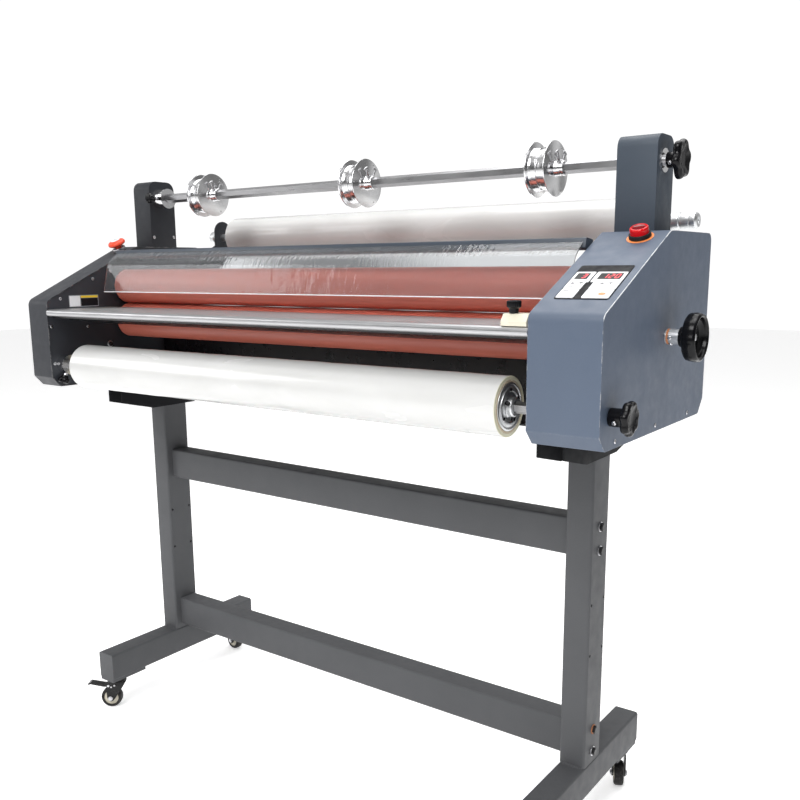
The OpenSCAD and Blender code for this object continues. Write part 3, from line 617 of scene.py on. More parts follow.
bolts = islands("stand_bolts")
bm = bmesh.new()
for i, (lo, hi) in enumerate(bolts):
    mid = (lo + hi) / 2
    side = 1 if mid.x > 0 else -1
    face = hi.x - 7 if side > 0 else lo.x + 7
    rusty = side > 0 and 200 < mid.z < 230
    place = along_x(face, mid.y, mid.z, side)
    added(bm, place, bolt, 2 if rusty else 1)
    added(bm, place, lathe, [(0, -60), (4, -60), (4, 0.5), (0, 0.5)], 20, 1)
piece("stand_bolt_heads", "stand_bolts", ["bolt_dark", "zinc", "rust"], bm, Matrix.Identity(4), ("stand_bolts",))


def cross_screw(bm, r=3.5, h=1.5):
    """A pan-head screw with a cross recess, outwards along Z."""
    dome = [(0, 0)] + [(r * math.cos(math.radians(a)), h * 0.25 + h * 0.75 * math.sin(math.radians(a)))
                       for a in (0, 20, 40, 60, 75)] + [(0, h)]
    lathe(bm, dome, 24, 0)
    # The cross recess is a flat black mark on the head: painted shade.
    for turn in (20, 110):
        turned = Matrix.Rotation(math.radians(turn), 4, "Z")
        added(bm, turned, prism, [(-1.9, -0.45), (1.9, -0.45), (1.9, 0.45), (-1.9, 0.45)], h - 0.1, h + 0.04, 1)


bm = bmesh.new()
for lo, hi in islands("cover_screws"):
    mid = (lo + hi) / 2
    outer = abs(mid.x) > 620
    side = (1 if mid.x > 0 else -1) * (1 if outer else -1)
    added(bm, along_x(lo.x if side > 0 else hi.x, mid.y, mid.z, side), cross_screw)
piece("cover_screw_heads", "cover_screws", ["zinc", "dark_print_and_recess_shade"], bm, Matrix.Identity(4), ("cover_screws",))

# ------------------------------------------------------------------ knobs and handwheel


def lobes(count, depth, start=0.0, sharp=1.0, inside=0.0):
    """A warp that draws a round outline in between its lobes."""
    def warp(r, a):
        if r <= inside:
            return r
        valley = (0.5 - 0.5 * math.cos(count * (a - start))) ** sharp
        return r * (1 - depth * valley)
    return warp


def centre(node):
    lo, hi = box_mm(node)
    return (lo + hi) / 2


HAND_Y, HAND_Z = centre("handwheel").y, centre("handwheel").z
hub_in, wheel_out = box_mm("handwheel")[0].x, box_mm("handwheel")[1].x
wheel_depth = wheel_out - hub_in


def handwheel():
    d = wheel_depth
    profile = rounded([
        (0, 0), (16, 0), (16, d - 21), (27, d - 20), (33, d - 23), (37.5, d - 20), (38.8, d - 11),
        (38, d - 3), (34.5, d), (31, d - 1.5), (29.5, d - 9), (24, d - 13), (12, d - 15), (11.5, d - 12),
        (0, d - 12)
    ], 2.2, 4)
    bm = bmesh.new()
    lathe(bm, profile, 120, 0, lobes(8, 0.035, 0.2, 2.0, 35))
    lathe(bm, rounded([(0, d - 13), (5.5, d - 13), (5.5, d - 10.6), (4.6, d - 9.8), (0, d - 9.8)], 0.5), 24, 1)
    # The screw's slot is a flat black mark: painted shade.
    prism(bm, [(-0.6, -4), (0.6, -4), (0.6, 4), (-0.6, 4)], d - 9.9, d - 9.7, 2)
    piece("handwheel_rim", "handwheel", ["knob_black", "zinc", "dark_print_and_recess_shade"], bm,
          along_x(hub_in, HAND_Y, HAND_Z), ("handwheel",))


handwheel()


def collar_screws():
    """The grub screws and the rust on the collar behind the handwheel."""
    bm = bmesh.new()
    for turn in (185, 250):
        place = Matrix.Rotation(math.radians(turn), 4, "Z") @ Matrix.Translation((11.7, 0, 8)) \
            @ Matrix.Rotation(math.radians(90), 4, "Y")
        added(bm, place, lathe, rounded([(0, 0), (3.0, 0), (3.0, 1.6), (2.2, 2.2), (0, 2.2)], 0.5), 20, 0)
    lathe(bm, [(12.05, 2), (12.25, 2), (12.25, 5.5), (12.05, 5.5)], 48, 1, None, True)
    piece("collar_screws", "pressure_shaft", ["zinc", "rust"], bm, along_x(right_face + 0.4, HAND_Y, HAND_Z))


collar_screws()


def clamp_screw(bm, look=0):
    """A grub screw's silver head, outwards along Z."""
    lathe(bm, rounded([(0, 0), (3.2, 0), (3.2, 2.2), (2.2, 2.8), (0, 2.8)], 0.5), 20, look)
    # The hex socket is a flat black mark: painted shade.
    prism(bm, hexagon(2.6), 2.75, 2.85, 2)


def shaft_knob(name, node, hub_r, hub_len, body_r, count, depth):
    """A moulded knob on a hub, with a concave face and a grub screw in its hub."""
    lo, hi = box_mm(node)
    mid_y, mid_z = centre(node).y, centre(node).z
    hub_x = hi.x - hub_len[1]
    body = hub_len[1] - hub_len[0]
    bm = bmesh.new()
    lathe(bm, rounded([(0, -8), (4.5, -8), (4.5, 0), (hub_r, 0), (hub_r, hub_len[0] + 1)], 0.8), 48, 0)
    z = hub_len[0]
    face = rounded([
        (hub_r, z), (body_r * 0.8, z), (body_r * 0.97, z + body * 0.18), (body_r, z + body * 0.55),
        (body_r * 0.93, z + body * 0.9), (body_r * 0.8, z + body), (body_r * 0.62, z + body * 0.9),
        (body_r * 0.3, z + body * 0.72), (0, z + body * 0.68)
    ], 2.5, 4)
    lathe(bm, face, 144, 0, lobes(count, depth, math.radians(14), 1.2, hub_r + 1))
    tilt = Matrix.Rotation(math.radians(205), 4, "Z") @ Matrix.Translation((hub_r - 0.6, 0, hub_len[0] * 0.5)) \
        @ Matrix.Rotation(math.radians(90), 4, "Y")
    added(bm, tilt, clamp_screw, 1)
    piece(name, node, ["knob_black", "zinc", "dark_print_and_recess_shade"], bm, along_x(hub_x, mid_y, mid_z), (node,))


top_lo, top_hi = box_mm("top_knob")
shaft_knob("top_knob_grip", "top_knob", 12.5, (14.7, top_hi.x - 664.5), 33, 6, 0.17)
front_hi = box_mm("front_knob")[1]
shaft_knob("front_knob_grip", "front_knob", 13.5, (20.7, front_hi.x - 704.4), 26, 7, 0.13)


def small_knob(bm, r, h, stem_r, stem):
    """A small clamping knob with six lobes, outwards along Z, with its threaded stem behind."""
    lathe(bm, [(0, -stem), (stem_r, -stem), (stem_r, 0.5), (0, 0.5)], 20, 1)
    face = rounded([(0, 0), (r * 0.6, 0), (r * 0.66, h * 0.3), (r * 0.95, h * 0.42), (r, h * 0.6),
                    (r * 0.96, h * 0.9), (r * 0.7, h), (0, h)], 1.2, 3)
    lathe(bm, face, 96, 0, lobes(6, 0.16, 0.3, 1.3, r * 0.7))


lo, hi = box_mm("top_lock")
bm = bmesh.new()
small_knob(bm, 12, 20, 4, 14)
piece("top_lock_knob", "top_lock", ["knob_black", "zinc"], bm,
      frame_at((lo.x + hi.x) / 2, lo.y + 20, (lo.z + hi.z) / 2, (1, 0, 0), (0, 0, 1), (0, -1, 0)), ("top_lock",))

lean = math.radians(24)
lock_axis = Vector((0, -math.sin(lean), -math.cos(lean)))
lock_side = Vector((0, -math.cos(lean), math.sin(lean)))
lock_foot = Vector((centre("front_lock").x, 36, 843)) + lock_axis * 26
bm = bmesh.new()
small_knob(bm, 12, 18, 4, 13)
piece("front_lock_knob", "front_lock", ["knob_black", "zinc"], bm,
      frame_at(*lock_foot, lock_axis.cross(Vector((1, 0, 0))).cross(lock_axis), lock_axis.cross(Vector((1, 0, 0))),
               lock_axis), ("front_lock",))


def guide_knob():
    lo, hi = box_mm("guide_knob")
    mid = centre("guide_knob")
    neck, head = hi.z - 18.5, hi.z - 10.5
    bm = bmesh.new()
    lathe(bm, rounded([(0, lo.z), (3, lo.z), (3, neck), (7, neck), (7, head - 1.5), (8.5, head)], 0.8), 40, 0)
    top = rounded([(8.5, head), (10.6, head + 1), (10.8, hi.z - 1.5), (9.2, hi.z), (3, hi.z), (0, hi.z - 0.6)], 0.9)
    lathe(bm, top, 160, 0, lobes(20, 0.07, 0, 1.0, 9.3))
    piece("guide_knob_grip", "guide_knob", ["knob_black"], bm, upright(mid.x, mid.y, 0), ("guide_knob",))


guide_knob()

# ------------------------------------------------------------------ stop buttons and control panel


def button_place(node):
    """A button's frame on the slope: its middle across, and its height up the slope."""
    mid = centre(node)
    angle = math.atan2(120, 247)
    t = mid.y * math.cos(angle) + (mid.z - 984) * math.sin(angle)
    return mid.x, t


right_x, right_t = button_place("right_stop_button")
left_x, left_t = button_place("left_stop_button")

bm = bmesh.new()
lathe(bm, rounded([(0, -14), (7, -14), (7, 4.6), (13.6, 4.6), (14.6, 6), (14.6, 15), (14, 17), (12.6, 17.8),
                   (11, 18), (10.2, 17)], 0.9, 3), 72, 0)
# The cap's dished top takes the darker red, painted shade.
lathe(bm, [(10.2, 17), (9, 16.6), (0, 16.4)], 72, 1)
piece("right_stop_cap", "right_stop_button", ["clear_red", "lens_painted_shade"], bm, on_slope(right_x, right_t), ("right_stop_button",))

bm = bmesh.new()
lathe(bm, rounded([(0, -14), (7, -14), (7, 12), (12, 12), (19.6, 15.6), (20.6, 19), (18.5, 23.4), (12.2, 26),
                   (12, 26.6), (0, 26.9)], 1.6, 4), 72, 0)
lathe(bm, rounded([(0, 26.6), (11.2, 26.5), (11.2, 26.95), (0, 27.2)], 0.2, 2), 48, 1)
prism(bm, [(-6, -1.6), (6, -1.6), (6, 1.6), (-6, 1.6)], 27.0, 27.35, 2)
piece("left_stop_cap", "left_stop_button", ["red_button", "pad_white", "label_grey"], bm, on_slope(left_x, left_t),
      ("left_stop_button",))

bm = bmesh.new()
for x, t, ring, base, radius, reach in ((right_x, right_t, 0, 1, 17.2, 21), (left_x, left_t, 1, 3, 14.8, 15.6)):
    place = on_slope(x, t)
    added(bm, place, lathe, rounded([(11, 0), (reach, 0), (reach, 0.7), (reach - 0.6, 0.9), (11, 0.9)], 0.2, 2, True), 72, ring,
          None, True)
    added(bm, place, lathe, rounded([(7.3, 0.9), (radius, 0.9), (radius + 0.2, 2), (radius, 7), (radius - 0.8, 8),
                                     (15, 8), (14.9, 2.4), (7.3, 2.4)], 0.5, 2, True), 72, base, None, True)
    added(bm, place, lathe, [(7.3, -22), (11, -22), (11, 1), (7.3, 1)], 40, base, None, True)
piece("button_rings", "button_collars", ["label_orange", "matte_black", "collar", "zinc"], bm,
      Matrix.Identity(4), ("button_collars",))

SEGMENTS = {"0": "abcdef", "1": "bc", "2": "abged", "3": "abgcd"}


def digit(bm, char, x, y, w, h, z, look):
    """A seven-segment digit."""
    t = w * 0.2
    bars = {
        "a": (x + t, y + h - t, w - 2 * t, t), "g": (x + t, y + h / 2 - t / 2, w - 2 * t, t),
        "d": (x + t, y, w - 2 * t, t), "f": (x, y + h / 2, t, h / 2 - t / 2),
        "b": (x + w - t, y + h / 2, t, h / 2 - t / 2), "e": (x, y + t / 2, t, h / 2 - t / 2),
        "c": (x + w - t, y + t / 2, t, h / 2 - t / 2),
    }
    for key in SEGMENTS[char]:
        bx, by, bw, bh = bars[key]
        lean = 0.12
        quad = [(bx + lean * (by - y), by), (bx + bw + lean * (by - y), by),
                (bx + bw + lean * (by + bh - y), by + bh), (bx + lean * (by + bh - y), by + bh)]
        prism(bm, quad, z, z + 0.15, look)


def arrow(bm, x, y, w, up, look):
    h = w * 0.55
    tip = [(x, y), (x + w, y), (x + w / 2, y + h)] if up else [(x, y + h), (x + w / 2, y), (x + w, y + h)]
    prism(bm, tip, 1.9, 2.15, look)


def control_panel():
    """The label plate, drawn in the slope's own X and Y."""
    BLACK, WHITE, GREY, RED, ORANGE, DIGIT, DARK = range(7)
    bm = bmesh.new()
    pad(bm, 603, 46.5, 84, 106, 0, 0.8, BLACK, 4)
    upper_left = [(605.5, 75), (633, 75), (633, 97), (636.5, 97), (636.5, 129), (605.5, 129)]
    upper_right = [(645, 75), (686, 75), (686, 129), (639, 129), (639, 97), (645, 97)]
    lower_left = [(605.5, 48.5), (633, 48.5), (633, 73.8), (605.5, 73.8)]
    lower_right = [(645, 48.5), (686, 48.5), (686, 73.8), (645, 73.8)]
    for area in (upper_left, upper_right, lower_left, lower_right):
        prism(bm, rounded(area, 2.2, 4, True), 0.8, 1.9, WHITE)
    pad(bm, 610, 105.5, 20, 18.5, 1.9, 2.3, DARK, 1)
    pad(bm, 646, 105.5, 35, 18.5, 1.9, 2.3, DARK, 1)
    digit(bm, "3", 619, 108, 7, 13, 2.3, DIGIT)
    for i, char in enumerate("120"):
        digit(bm, char, 652 + 9.5 * i, 108, 6.5, 13, 2.3, DIGIT)
    for x in (610, 623, 656, 669):
        arrow(bm, x, 91, 7, x in (610, 656), DARK)
    for x, y, w, look in ((609, 100, 16, GREY), (655, 100, 16, GREY), (655, 80, 7, RED), (652, 80, 3, DARK),
                          (609, 82, 9, DARK), (625, 82, 5, GREY), (609, 68, 9, DARK), (626, 68, 4, GREY),
                          (655, 68, 6, RED), (652, 68, 3, DARK), (664, 68, 13, GREY), (609, 55, 8, RED),
                          (624, 55, 5, DARK), (650, 55, 10, GREY)):
        prism(bm, [(x, y), (x + w, y), (x + w, y + 1.4), (x, y + 1.4)], 1.9, 2.05, look)
    oval = [(math.cos(math.radians(a)), math.sin(math.radians(a))) for a in range(0, 360, 15)]
    prism(bm, [(672 + 5.5 * c, 60.5 + 3.6 * s) for c, s in oval], 1.9, 2.3, ORANGE)
    piece("panel_label_plate", "control_panel",
          ["panel", "pad_white", "label_grey", "label_red", "label_orange", "digits", "dark_print_and_recess_shade"], bm,
          on_slope(box_mm("control_panel")[0].x - 603, 0), ("control_panel",))


control_panel()

# ------------------------------------------------------------------ rollers, film and shafts


def roller(node, name):
    lo, hi = box_mm(node)
    mid = centre(node)
    half, r = 583, (hi.z - lo.z) / 2
    bm = bmesh.new()
    sleeve = [(r - 7, -half), (r - 1.6, -half), (r, -half + 1.6)]
    sleeve += [(r + 0.12 * math.sin(i * 1.7), -half + 40 + i * 45) for i in range(26)]
    sleeve += [(r, half - 1.6), (r - 1.6, half), (r - 7, half)]
    lathe(bm, sleeve, 96, 0)
    for side in (-1, 1):
        cap = [(r - 7, half), (r - 7.2, half + 3), (20, half + 3), (19, half + 1.5), (12.5, half + 1.5)]
        lathe(bm, [(q, side * z) for q, z in rounded(cap, 0.5, 2)], 72, 1)
    lathe(bm, [(0, lo.x), (11.5, lo.x), (12.5, lo.x + 1), (12.5, hi.x - 1), (11.5, hi.x), (0, hi.x)], 48, 1)
    piece(name, node, ["silicone", "steel"], bm, along_x(0, mid.y, mid.z), (node,))


roller("lower_roller", "lower_silicone_roller")
roller("upper_roller", "upper_silicone_roller")


def film_roll(node, name):
    """A roll of film on a card core, a little uneven along its length."""
    lo, hi = box_mm(node)
    mid = centre(node)
    r, bore = (hi.z - lo.z) / 2, 37.5
    length = hi.x - lo.x
    bm = bmesh.new()
    body = [(41, 0.4), (r - 0.8, 0.2), (r - 0.1, 0.9), (r - 0.1, 2.5)]
    count = 30
    for i in range(1, count):
        body.append((r - 0.25 + 0.16 * math.sin(i * 2.1) + random.uniform(-0.08, 0.08), length * i / count))
    body += [(r - 0.1, length - 2.5), (r - 0.1, length - 0.9), (r - 0.8, length - 0.2), (41, length - 0.4)]
    lathe(bm, body, 96, 0)
    for f in bm.faces:
        z = f.calc_center_median().z
        if z < 0.9 or z > length - 0.9:
            f.material_index = 2
    for z, side in ((0, 1), (length, -1)):
        end = [(41, z + side * 0.4), (40.8, z), (bore + 0.4, z), (bore, z + side * 0.6), (bore, z + side * 26)]
        lathe(bm, end, 72, 1)
    piece(name, node, ["film", "card", "film_edge"], bm, along_x(lo.x, mid.y, mid.z), (node,))
    return lo.x, hi.x


front_x0, front_x1 = film_roll("front_film", "front_film_roll")
rear_x0, rear_x1 = film_roll("rear_film", "rear_film_roll")


def core_chuck(bm, bore, reach=11.0):
    """A plug in a film core, outwards along Z from the core's end, with two black screws."""
    steps = [(bore, -14), (37.3, -14), (37.3, 0.8), (34, 1.6), (33.5, 0.2), (30, 0.2), (30, 2.6), (24, 3.2),
             (23, 1.2), (17, 1.2), (15, 2.4), (15, reach - 2), (13.5, reach), (bore, reach)]
    lathe(bm, rounded(steps, 0.5, 2, True), 72, 0, None, True)
    for a in (35, 155, 275):
        spoke = Matrix.Rotation(math.radians(a), 4, "Z") @ Matrix.Translation((14, 0, reach * 0.52)) \
            @ Matrix.Rotation(math.radians(90), 4, "Y")
        added(bm, spoke, lathe, rounded([(0, 0), (3.4, 0), (3.4, 7), (0, 7)], 0.6, 2), 20, 1)
        lug = Matrix.Rotation(math.radians(a + 60), 4, "Z") @ Matrix.Translation((27, 0, 2.4))
        added(bm, lug, lathe, rounded([(0, 0), (2.6, 0), (2.6, 1.4), (0, 1.4)], 0.4, 2), 16, 1)


lo, hi = box_mm("front_shaft")
mid = centre("front_shaft")
bm = bmesh.new()
added(bm, along_x(front_x0, mid.y, mid.z, -1), core_chuck, 9.3)
added(bm, along_x(front_x1, mid.y, mid.z, 1), core_chuck, 9.3)
piece("front_core_chucks", "front_chucks", ["satin", "knob_black"], bm, Matrix.Identity(4), ("front_chucks",))


def rear_shaft():
    """The plain rear shaft: its core chucks, its left stub and its grooved right end."""
    lo, hi = box_mm("rear_shaft")
    mid = centre("rear_shaft")
    bm = bmesh.new()
    lathe(bm, [(0, -600), (9, -600), (9, 604), (0, 604)], 48, 0)
    lathe(bm, rounded([(0, lo.x), (15, lo.x), (16.6, lo.x + 1.5), (16.6, -608), (14, -606), (14, -597), (0, -597)], 0.5), 48, 0)
    end = [(0, 600), (12.5, 600), (13, 604), (15.3, 605), (15.5, 607), (15.5, 621), (14.2, 622), (14.2, 624),
           (15.5, 625), (15.5, 640), (14.8, 641), (15.5, 642), (15.5, hi.x - 4), (12, hi.x), (6, hi.x),
           (5.5, hi.x - 3), (0, hi.x - 3)]
    lathe(bm, rounded(end, 0.4, 2), 64, 0)
    for x, side in ((rear_x0, -1), (rear_x1, 1)):
        place = Matrix.Translation((0, 0, x)) if side > 0 else Matrix.Translation((0, 0, x)) @ Matrix.Scale(-1, 4, (0, 0, 1))
        disc = [(9, -13), (37.3, -13), (37.3, 4), (38.0, 5), (38.0, 9), (36, 10), (30, 10), (29, 12), (20, 12),
                (18, 17.6), (9, 17.6)]
        added(bm, place, lathe, rounded(disc, 0.6, 2, True), 72, 0, None, True)
        for a in (40, 220):
            spot_at = place @ Matrix.Rotation(math.radians(a), 4, "Z") @ Matrix.Translation((33, 0, 9.8))
            added(bm, spot_at, lathe, rounded([(0, 0), (2.6, 0), (2.6, 1.6), (0, 1.6)], 0.4, 2), 16, 1)
    piece("rear_shaft_turned", "rear_shaft", ["satin", "bolt_dark"], bm, along_x(0, mid.y, mid.z), ("rear_shaft",))


rear_shaft()


def top_chuck(node):
    """A turned spool with two thin flanges, a hub and two clamping screws."""
    lo, hi = box_mm(node)
    mid_x = lo.x + 19
    lathe_profile = [
        (9.6, -19), (47.2, -19), (47.4, -18.2), (46.9, -16.6), (37.8, -16.3), (37.5, -15), (37.5, -3), (34.5, -2),
        (34.5, 2), (37.5, 3), (37.5, 15), (37.8, 16.3), (46.9, 16.6), (47.4, 18.2), (47.2, 19), (14, 19.2),
        (13, 20), (13, 29), (11.8, 30), (11.8, 32), (13, 33), (13, 36), (12.2, 37), (9.6, 37)
    ]
    bm = bmesh.new()
    lathe(bm, rounded(lathe_profile, 0.35, 2, True), 96, 0, None, True)
    for a in (150, 210):
        peg = Matrix.Rotation(math.radians(a), 4, "Z") @ Matrix.Translation((0, 0, 28)) \
            @ Matrix.Rotation(math.radians(90), 4, "Y")
        added(bm, peg, lathe, rounded([(0, 11), (2.2, 11), (2.2, 30), (0, 30)], 0.4, 2), 16, 1)
        added(bm, peg, lathe, rounded([(0, 12.4), (4.4, 12.4), (4.4, 15), (0, 15)], 0.6, 2), 24, 1)
        handle = peg @ Matrix.Translation((0, 0, 31)) @ Matrix.Rotation(math.radians(90), 4, "X")
        added(bm, handle, lathe, rounded([(0, -6), (1.8, -6), (2.3, 0), (1.8, 6), (0, 6)], 0.8, 2), 16, 1)
    for a in (30, 150, 270):
        rivet = Matrix.Rotation(math.radians(a), 4, "Z") @ Matrix.Translation((41.5, 0, 18.9))
        added(bm, rivet, lathe, rounded([(0, 0), (1.7, 0), (1.5, 0.5), (0, 0.7)], 0.2, 2), 14, 1)
    centre_y, centre_z = centre("top_shaft").y, centre("top_shaft").z
    turn = Matrix.Rotation(math.radians(-90), 4, "Z")
    piece(node + "_turned", node, ["chrome", "steel"], bm, along_x(mid_x, centre_y, centre_z) @ turn, (node,))


for name in ("top_chuck_left", "top_chuck_middle", "top_chuck_right"):
    top_chuck(name)

# ------------------------------------------------------------------ clear shield


def shield():
    """The bent clear sheet, a little wavy along its length as sheet plastic is."""
    lo, hi = box_mm("shield")
    bend = Vector((162.5, 1065.5))
    top, foot = Vector((189.5, 1086.5)), Vector((146.7, 999.8))
    mid_line = rounded([tuple(top), tuple(bend), tuple(foot)], 15, 9)
    fine = []
    for a, b in zip(mid_line, mid_line[1:]):
        count = 5 if (Vector(b) - Vector(a)).length > 8 else 1
        fine += [tuple(Vector(a).lerp(Vector(b), k / count)) for k in range(count)]
    foot_run = (Vector(mid_line[-1]) - Vector(mid_line[-2])).normalized()
    fine += [tuple(Vector(mid_line[-1]) - foot_run * 1.6), mid_line[-1]]
    half = 1.15
    stations = 90
    rings = []
    bm = bmesh.new()
    for i in range(stations + 1):
        x = lo.x + (hi.x - lo.x) * i / stations
        front, back = [], []
        for k, p in enumerate(fine):
            a, b = fine[max(0, k - 1)], fine[min(len(fine) - 1, k + 1)]
            run = (Vector(b) - Vector(a)).normalized()
            out = Vector((run.y, -run.x))
            drop = k / (len(fine) - 1)
            wave = (0.5 * math.sin(x * 0.021 + drop * 2) + 0.35 * math.sin(x * 0.053 + 1.3)) * math.sin(math.pi * min(1, drop * 1.2))
            q = Vector(p) + out * wave * 0.55
            front.append(bm.verts.new((x, *(q + out * half))))
            back.append(bm.verts.new((x, *(q - out * half))))
        rings.append(front + back[::-1])
    size = len(rings[0])
    for a, b in zip(rings, rings[1:]):
        for k in range(size):
            face = bm.faces.new((a[k], b[k], b[(k + 1) % size], a[(k + 1) % size]))
            # The faces along the sheet's bottom edge take the whitish material, a painted highlight.
            face.material_index = int(abs(k - size // 2 + 1) <= 1)
    bm.faces.new(rings[0])
    bm.faces.new(rings[-1][::-1])
    piece("shield_sheet", "shield", ["acrylic", "sheet_edge_painted_highlight"], bm, upright(0, 0, 0), ("shield",), 40)


shield()

# ------------------------------------------------------------------ castors


def caster(corner):
    """A castor's fork and wheel, built in the swivel's own frame, in which the wheel trails along X."""
    swivel, spin = joints[corner + "_swivel_turn"], joints[corner + "_wheel_spin"]
    pivot, axle = Vector(swivel["pos_m"]), Vector(spin["pos_m"])
    trail = Vector((axle.x - pivot.x, axle.y - pivot.y, 0))
    ahead = trail.normalized()
    across = Vector((-ahead.y, ahead.x, 0))
    place = Matrix((ahead, across, (0, 0, 1))).transposed().to_4x4()
    place = Matrix.Translation((pivot.x, pivot.y, 0)) @ place @ Matrix.Scale(MM, 4)
    tr, wheel_r = trail.length / MM, axle.z / MM

    bm = bmesh.new()
    lathe(bm, rounded([(0, 84), (5, 84), (5, 74.6), (18, 74.6), (19, 73), (18.6, 70.5), (16.5, 70), (16.5, 69),
                       (18.6, 68.4), (18.8, 66.5), (17, 65.6), (0, 65.6)], 0.6, 2), 56, 0)
    side = [(-19, 66), (-17, 58), (tr - 10, wheel_r - 2), (tr - 2, wheel_r - 10), (tr + 8, wheel_r - 3),
            (25, 50), (19, 66)]
    for s in (-1, 1):
        start = len(bm.verts)
        prism(bm, rounded(side, 5, 4, True), -1.25, 1.25, 0)
        moved(bm, Matrix.Translation((0, s * 12.5, 0)) @ Matrix.Rotation(math.radians(90), 4, "X"), start)
        out = Matrix.Translation((tr, s * 13.7, wheel_r)) @ Matrix.Rotation(math.radians(-90 * s), 4, "X")
        added(bm, out, prism, hexagon(10), 0, 3.0, 2)
        added(bm, out, lathe, rounded([(0, 2.8), (4, 2.8), (3.6, 3.9), (0, 4.1)], 0.3, 2), 20, 2)
        for x, z in ((4, 58), (12, 54)):
            rivet = Matrix.Translation((x, s * 13.7, z)) @ Matrix.Rotation(math.radians(-90 * s), 4, "X")
            added(bm, rivet, lathe, rounded([(0, 0), (2.4, 0), (2.1, 0.9), (0, 1.3)], 0.3, 2), 16, 2)
    rod = Matrix.Translation((tr, 0, wheel_r)) @ Matrix.Rotation(math.radians(90), 4, "X")
    added(bm, rod, lathe, [(0, -13), (3.9, -13), (3.9, 13), (0, 13)], 20, 2)
    if corner.startswith("front"):
        pin = Matrix.Translation((19, 0, 57)) @ Matrix.Rotation(math.radians(90), 4, "X")
        added(bm, pin, lathe, rounded([(0, -14.5), (3, -14.5), (3, -13), (2, -13), (2, 13), (3, 13), (3, 14.5), (0, 14.5)],
                                      0.2, 2), 20, 2)
    piece(corner + "_fork_pressing", corner + "_fork", ["matte_black", "zinc", "zinc"], bm, place, (corner + "_fork",))

    bm = bmesh.new()
    r = wheel_r
    tyre = [(r - 8, -8.6), (r - 5, -9.6), (r - 2.5, -9.6), (r - 0.6, -7.5), (r - 0.1, -4), (r, 0), (r - 0.1, 4),
            (r - 0.6, 7.5), (r - 2.5, 9.6), (r - 5, 9.6), (r - 8, 8.6)]
    lathe(bm, rounded(tyre, 1.0, 2), 72, 0)
    for s in (-1, 1):
        rim = [(r - 8, 8.6), (r - 8.6, 7), (r - 10, 6.4), (10, 5.4), (9, 6), (8.6, 9.6), (7.8, 10), (4.05, 10),
               (4.05, 0)]
        lathe(bm, [(q, s * z) for q, z in rounded(rim, 0.5, 2)], 60, 1)
    wheel = place @ Matrix.Translation((tr, 0, wheel_r)) @ Matrix.Rotation(math.radians(90), 4, "X")
    piece(corner + "_tyre", corner + "_wheel", ["tyre", "rim"], bm, wheel, (corner + "_wheel",))
    return place


def brake(node, place):
    """The stamped foot lever, bare along its tip."""
    bm = bmesh.new()
    outline = [(17, 54), (24, 52.6), (32, 52.6), (64, 59.4), (69, 57.4), (71, 60), (66, 63.6), (31, 57.4),
               (20, 60.4)]
    start = len(bm.verts)
    prism(bm, rounded(outline, 1.6, 3, True), -9, 9, 0)
    moved(bm, Matrix.Rotation(math.radians(90), 4, "X"), start)
    start = len(bm.verts)
    prism(bm, rounded([(60, 61.7), (69.5, 60.7), (70.6, 61.2), (66, 64.3)], 0.4, 2, True), -8.2, 8.2, 1)
    moved(bm, Matrix.Rotation(math.radians(90), 4, "X"), start)
    soften(bm, 0.6, 2, 50)
    piece(node + "_lever", node, ["matte_black", "zinc"], bm, place, (node,))


for corner in ("front_left", "front_right", "rear_left", "rear_right"):
    place = caster(corner)
    if corner.startswith("front"):
        brake("left_brake" if corner == "front_left" else "right_brake", place)

# ------------------------------------------------------------------ small fittings on the inner faces


def small_fittings():
    inner = box_mm("left_side_plate")[1].x
    bm = bmesh.new()
    start = len(bm.verts)
    pad(bm, 57.5, 968.5, 76.5, 26, 0, 0.25, 0, 1.5)
    pad(bm, 59, 970, 27, 23, 0.25, 0.32, 1, 0.8)
    pad(bm, 88, 988.4, 44.5, 4.8, 0.25, 0.32, 2, 0.4)
    pad(bm, 88, 970, 44.5, 17.6, 0.25, 0.32, 3, 0.4)
    moved(bm, frame_at(inner, 0, 0, (0, 1, 0), (0, 0, 1), (1, 0, 0)), start)
    piece("blank_label", "left_side_plate", ["label_grey", "pad_white", "label_yellow", "panel"], bm, Matrix.Identity(4))
    bm = bmesh.new()
    place = along_x(inner, 158, 880)
    added(bm, place, lathe, rounded([(0, 0), (7.5, 0), (7.5, 1), (6.8, 1.4), (0, 1.4)], 0.4, 2), 32, 0)
    added(bm, place, lathe, rounded([(0, 1.2), (4.8, 1.2), (4.8, 4.2), (4, 4.8), (0, 4.8)], 0.4, 2), 24, 1)
    piece("left_plate_bolt", "left_side_plate", ["zinc", "bolt_dark"], bm, Matrix.Identity(4))


M["label_yellow"] = plastic("label_yellow", (0.86, 0.60, 0.03), 0.35)
small_fittings()

# ------------------------------------------------------------------ light and floor


def add_light(name, place, target, size, power, size_y=None, colour=(1, 1, 1)):
    data = bpy.data.lights.new(name, "AREA")
    data.shape = "RECTANGLE"
    data.size, data.size_y = size, size_y or size
    data.energy = power
    data.color = colour
    obj = bpy.data.objects.new(name, data)
    scene.collection.objects.link(obj)
    obj.location = place
    obj.rotation_euler = (Vector(target) - Vector(place)).to_track_quat("-Z", "Y").to_euler()


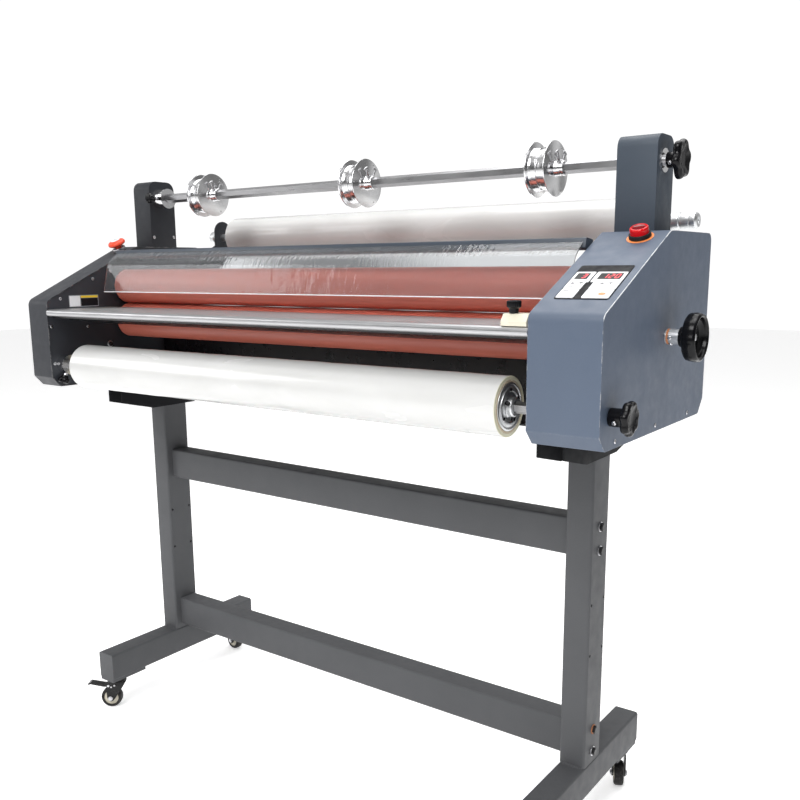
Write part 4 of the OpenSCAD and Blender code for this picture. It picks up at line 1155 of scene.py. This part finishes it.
def light_room(tree):
    """A white studio, dimmer on the feed side, so that metal and clear plastic have something to reflect."""
    def new(kind, **options):
        node = tree.nodes.new(kind)
        for key, value in options.items():
            setattr(node, key, value)
        return node

    def ramp(value, lo, hi, a, b):
        node = new("ShaderNodeMapRange")
        tree.links.new(value, node.inputs["Value"])
        for key, v in (("From Min", lo), ("From Max", hi), ("To Min", a), ("To Max", b)):
            node.inputs[key].default_value = v
        return node.outputs["Result"]

    where = new("ShaderNodeSeparateXYZ")
    tree.links.new(new("ShaderNodeTexCoord").outputs["Generated"], where.inputs[0])
    total = new("ShaderNodeMath", operation="ADD")
    shaded = new("ShaderNodeMath", operation="ADD")
    tree.links.new(ramp(where.outputs["Y"], -0.75, 0.35, 0.2, 0.62), total.inputs[0])
    tree.links.new(ramp(where.outputs["Z"], 0.35, 0.9, 0.0, 0.3), total.inputs[1])
    screens = new("ShaderNodeTexNoise")
    screens.inputs["Scale"].default_value = 2.6
    screens.inputs["Detail"].default_value = 1.0
    dappled = new("ShaderNodeMath", operation="MULTIPLY")
    tree.links.new(total.outputs[0], shaded.inputs[0])
    tree.links.new(ramp(where.outputs["X"], 0.1, 0.8, 0.0, -0.32), shaded.inputs[1])
    tree.links.new(shaded.outputs[0], dappled.inputs[0])
    tree.links.new(ramp(screens.outputs["Fac"], 0.42, 0.56, 0.35, 1.35), dappled.inputs[1])
    seen = new("ShaderNodeMix", data_type="FLOAT")
    tree.links.new(new("ShaderNodeLightPath").outputs["Is Camera Ray"], seen.inputs[0])
    tree.links.new(dappled.outputs[0], seen.inputs[2])
    seen.inputs[3].default_value = 1.05
    tree.links.new(seen.outputs[0], tree.nodes["Background"].inputs["Strength"])
    tree.nodes["Background"].inputs["Color"].default_value = (1, 1, 1, 1)


def add_stage():
    bm = bmesh.new()
    bmesh.ops.create_grid(bm, x_segments=1, y_segments=1, size=14)
    mesh = bpy.data.meshes.new("floor")
    bm.to_mesh(mesh)
    bm.free()
    floor = bpy.data.objects.new("floor", mesh)
    scene.collection.objects.link(floor)
    n = Nodes("floor")
    n.shader(Base_Color=(0.94, 0.94, 0.94, 1), Roughness=0.8)
    n.shader(Emission_Color=(1, 1, 1, 1), Emission_Strength=0.47)
    mesh.materials.append(n.mat)
    world = bpy.data.worlds.new("world")
    world.use_nodes = True
    light_room(world.node_tree)
    scene.world = world
    add_light("key", (0.9, -3.6, 3.9), (0.1, 0, 0.7), 2.4, 165)
    add_light("fill", (-3.4, -2.4, 2.4), (0, 0, 0.8), 1.6, 28)
    add_light("top", (0, 0.6, 4.0), (0, 0, 0.8), 3.0, 95)


add_stage()
